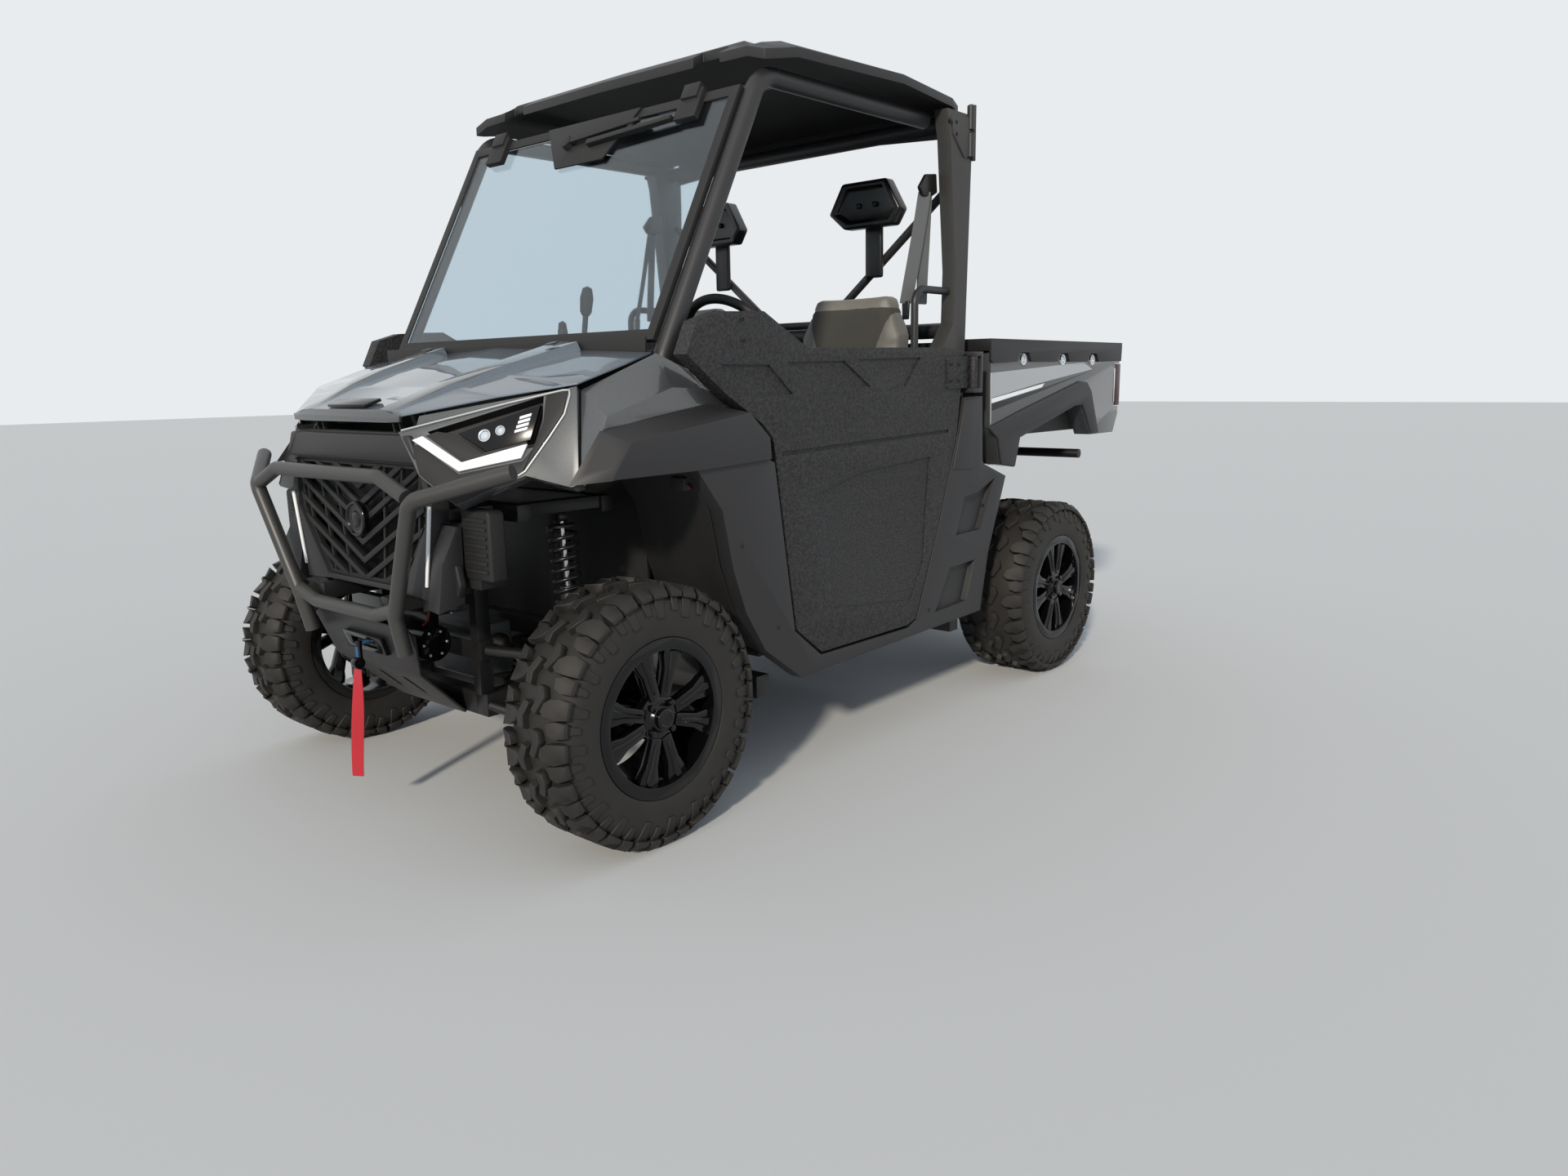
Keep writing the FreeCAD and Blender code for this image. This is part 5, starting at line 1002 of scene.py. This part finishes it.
hood = soften(merged_copy("hood"), 3, 3)
settle(split_off(hood, "hood_ridges", on_ridge), *SILVER, body="hood")
settle(hood, hood_paint, "hood_paint", "hood", body="hood")
pad = slab("badge_pad", [
    (-92, -1437, 1063.3), (92, -1437, 1063.3), (102, -1396, 1079), (-102, -1396, 1079)], (0, -3, 8), 2.5)
settle(pad, *GLOSS, body="hood")
PLUG = ((-12, -14), (12, -14), (18, 0), (12, 14), (-12, 14), (-18, 0))
plugs = [slab("hood_plug", [(292 + a, -1018 + b, 1215.5 + b * 0.28) for a, b in PLUG], (0, 0, 3), 1)]
paired("hood_plugs", plugs, satin_black, "gloss_black", body="hood")

# The front guard, the skid plate and the winch: bent tube and folded plate, satin coated.
# A short end of blue rope, a power lead and a red pull strap come with the winch.
# The front guard takes the paler copy of the cage coat, as painted light.
dressed("front_bumper", painted_lit_coat, "cage_paint", 0)
dressed("bumper_plate", chassis_coat, "cage_paint", 1.5)
dressed("winch", *GLOSS, 1)
rope = wire("winch_rope_end", [(0, -1372, 463), (0, -1452, 463), (0, -1461, 461), (0, -1466, 452),
    (0, -1466, 428)], 5.8)
settle(rope, rubber("blue_synthetic_rope", "#2A6FA8", 2.0, 0.7), "webbing")
BOLT_CIRCLE = 33
ends = []
for step in range(6):
    turn = math.radians(step * 60)
    ends.append((190.5, -1356 + BOLT_CIRCLE * math.cos(turn), 470 + BOLT_CIRCLE * math.sin(turn)))
settle(bolts("winch_end_bolts", ends, (1, 0, 0), 4, 3), bright_steel, "bare_metal")
TERMINAL = [(0, 0), (0, 9), (16, 10), (26, 6), (34, 5), (34, 0)]
boot = aimed(spun("terminal_boot", TERMINAL, 24), (150, -1356.3, 508), (185, -1370, 530))
lead = wire("winch_lead", [(172, -1365, 522), (188, -1372, 535), (196, -1372, 552), (190, -1366, 563)], 3)
red_rubber = rubber("red_terminal_boot", "#B3121A", 2.0, 0.5)
settle(soften(joined("winch_terminal", [boot, lead]), 0), red_rubber, "red_webbing")
PULL_STRAP = (
    # station, twist
    ((0, -1470, 396), 4), ((0, -1471, 390), 6), ((0, -1474, 350), 18), ((1, -1479, 300), 34),
    ((0, -1485, 245), 46), ((-1, -1490, 190), 40), ((0, -1494, 150), 34), ((0, -1496, 117), 31),
    ((0, -1496, 111), 30))
red_strap = strap("winch_pull_strap", PULL_STRAP, 33, 2.4)
settle(red_strap, webbing("red_nylon_webbing", "#A80F22"), "red_webbing", "winch_strap")

# The sides: sills with the panel behind the door, and the half doors with their coarse texture.
# Button-headed bolts, push pins, small lenses and the rear hinges go with them.
door_plastic = Finish("door_coarse_plastic", {"Roughness": 0.6})
# The plastic has raised pebbles, coloured paler on their tops than in the valleys between them.
pebbles = door_plastic.noise(6.5, 2.0, 0.6)
door_plastic.colour(door_plastic.span(pebbles, 0.0, 1.0, 0.4, 0.62), linear("#0C0C0D"), linear("#303032"))
door_plastic.bump(pebbles, 0.9, 2.2)
dressed("side_sills", *BODY, 5, 3)
for body, side in (("door_left", 1), ("door_right", -1)):
    dressed(body, door_plastic.material, "door_plastic", 5, 3, body=body)
    heads = [(745 * side, -782, 1266), (745 * side, -780, 1214)]
    heads += [(751 * side, y, z) for y in (182, 226) for z in (1104, 1156)]
    settle(bolts(f"{body}_bolts", heads, (side, 0, 0), 7, 4), black_steel, "bare_metal", body=body)
# The lens is acrylic coloured through, over a prism pattern 5 mm apart.
red_glass = Finish("red_lens",
    {"Base Color": linear("#3A0305"), "Roughness": 0.16, "Specular IOR Level": 0.3, "Coat Weight": 0.15})
red_glass.bump(red_glass.cells(5), 0.5, 0.8)
red_lens = red_glass.material
lenses = slab(
    "arch_lens", [(692, -940, 868), (692, -884, 868), (692, -884, 854), (692, -940, 854)], (3, 0, 0), 1.5)
paired("arch_lenses", [lenses], red_lens, "red_lens")
PINS = [(745, -798, 700), (745, 400, 700), (745, -660, 460), (745, 80, 380)]
pins = bolts("sill_pins", PINS, (1, 0, 0), 7, 2)
paired("sill_push_pins", [pins], *DARK)
plates = [bolts("hinge_plate_bolts", [(694, 250, 1897), (694, 283, 1899), (694, 285, 1864)], (1, 0, 0), 7, 4)]
barrel = [(0, 0), (0, 7), (4, 12), (74, 12), (78, 7), (78, 0)]
barrels = [aimed(spun("barrel", barrel, 32), (694, 371, low), (694, 371, low + 1)) for low in (1803, 1886)]
paired("hinge_barrels", [soften(joined("barrels", barrels), 0)], cage_coat, "cage_paint")
paired("hinge_plate_heads", plates, black_steel, "bare_metal")

# The bed: a moulded tub with painted side panels, deep cap rails, tail lamps and a tailgate.
# The panels carry three flat decals, and each rail has three small lamps.
dressed("bed_tub", *DARK, 5, body="bed")
dressed("bed_sides", *SILVER, 5, 3, body="bed")
dressed("bed_caps", roof_plastic, "roof_plastic", 5, 3, body="bed")
dressed("tail_lamps", red_lens, "red_lens", 4, 3, body="bed")
FLARE = (
    (440, 945), (700, 1004), (1128, 1092), (1186, 1088), (1226, 1054), (1304, 888), (1240, 887), (1152, 1003),
    (1088, 1000), (660, 901), (628, 801), (532, 816), (505, 905))
EDGE = ((462, 1128), (466, 960), (459, 955), (455, 1128))
# A thin chrome strip down each tail lamp's front edge stands in for a glint there: a painted highlight.
LAMP_GLINT = ((1443, 1140), (1452, 1140), (1452, 1004), (1444, 1010))
BAND = ((460, 1127), (1161, 1163), (1240, 1137), (825, 1091), (463, 1043))
STRIPE = ((463, 1041), (846, 1088), (826, 1074), (464, 1026))
WEDGE = ((464, 1023), (832, 1071), (1236, 1132), (827, 1061), (465, 1000))
SIDE_PLATES = (
    # name, place across, outline along and up, thickness, edge radius, its segments, finish, slot
    ("bed_flares", 734, FLARE, 11, 5, 3, body_plastic, "dark_plastic"),
    ("bed_front_edges", 734.5, EDGE, 3, 1, 2, edge_silver, "body_silver"),
    # the chrome strip on each tail lamp is a painted highlight
    ("tail_lamp_glints", 735.5, LAMP_GLINT, 1.5, 0.5, 2, chrome, "bare_metal"),
    ("side_bands", 735, BAND, 0.8, 0, 2, edge_silver, "body_silver"),
    ("side_stripes", 735, STRIPE, 0.8, 0, 2, white_lens, "body_silver"),
    ("side_wedges", 735, WEDGE, 0.8, 0, 2, rim_lacquer, "body_silver"))
for name, across_bed, outline, thick, width, segments, finish, slot in SIDE_PLATES:
    plate = slab(name, [(across_bed, y, z) for y, z in outline], (thick, 0, 0), width, segments)
    paired(name, [plate], finish, slot, "bed")
CAP_RING, CAP_GLASS = [(0, 14), (5, 14), (6, 19), (0, 20)], [(0, 0), (0, 14), (2, 12), (3, 0)]
rims, glasses = [], []
for station in (676, 978, 1228):
    start, end = (735, station, 1172), (736, station, 1172)
    rims.append(aimed(spun("ring", CAP_RING, 40), start, end))
    glasses.append(aimed(spun("glass", CAP_GLASS, 40), start, end))
paired("cap_lamp_rings", [soften(joined("cap_rings", rims), 0)], chrome, "bare_metal", body="bed")
paired("cap_lamp_glasses", [soften(joined("cap_glasses", glasses), 0)], projector, "lamp", body="bed")
dressed("tailgate", *BODY, 3, body="tailgate")
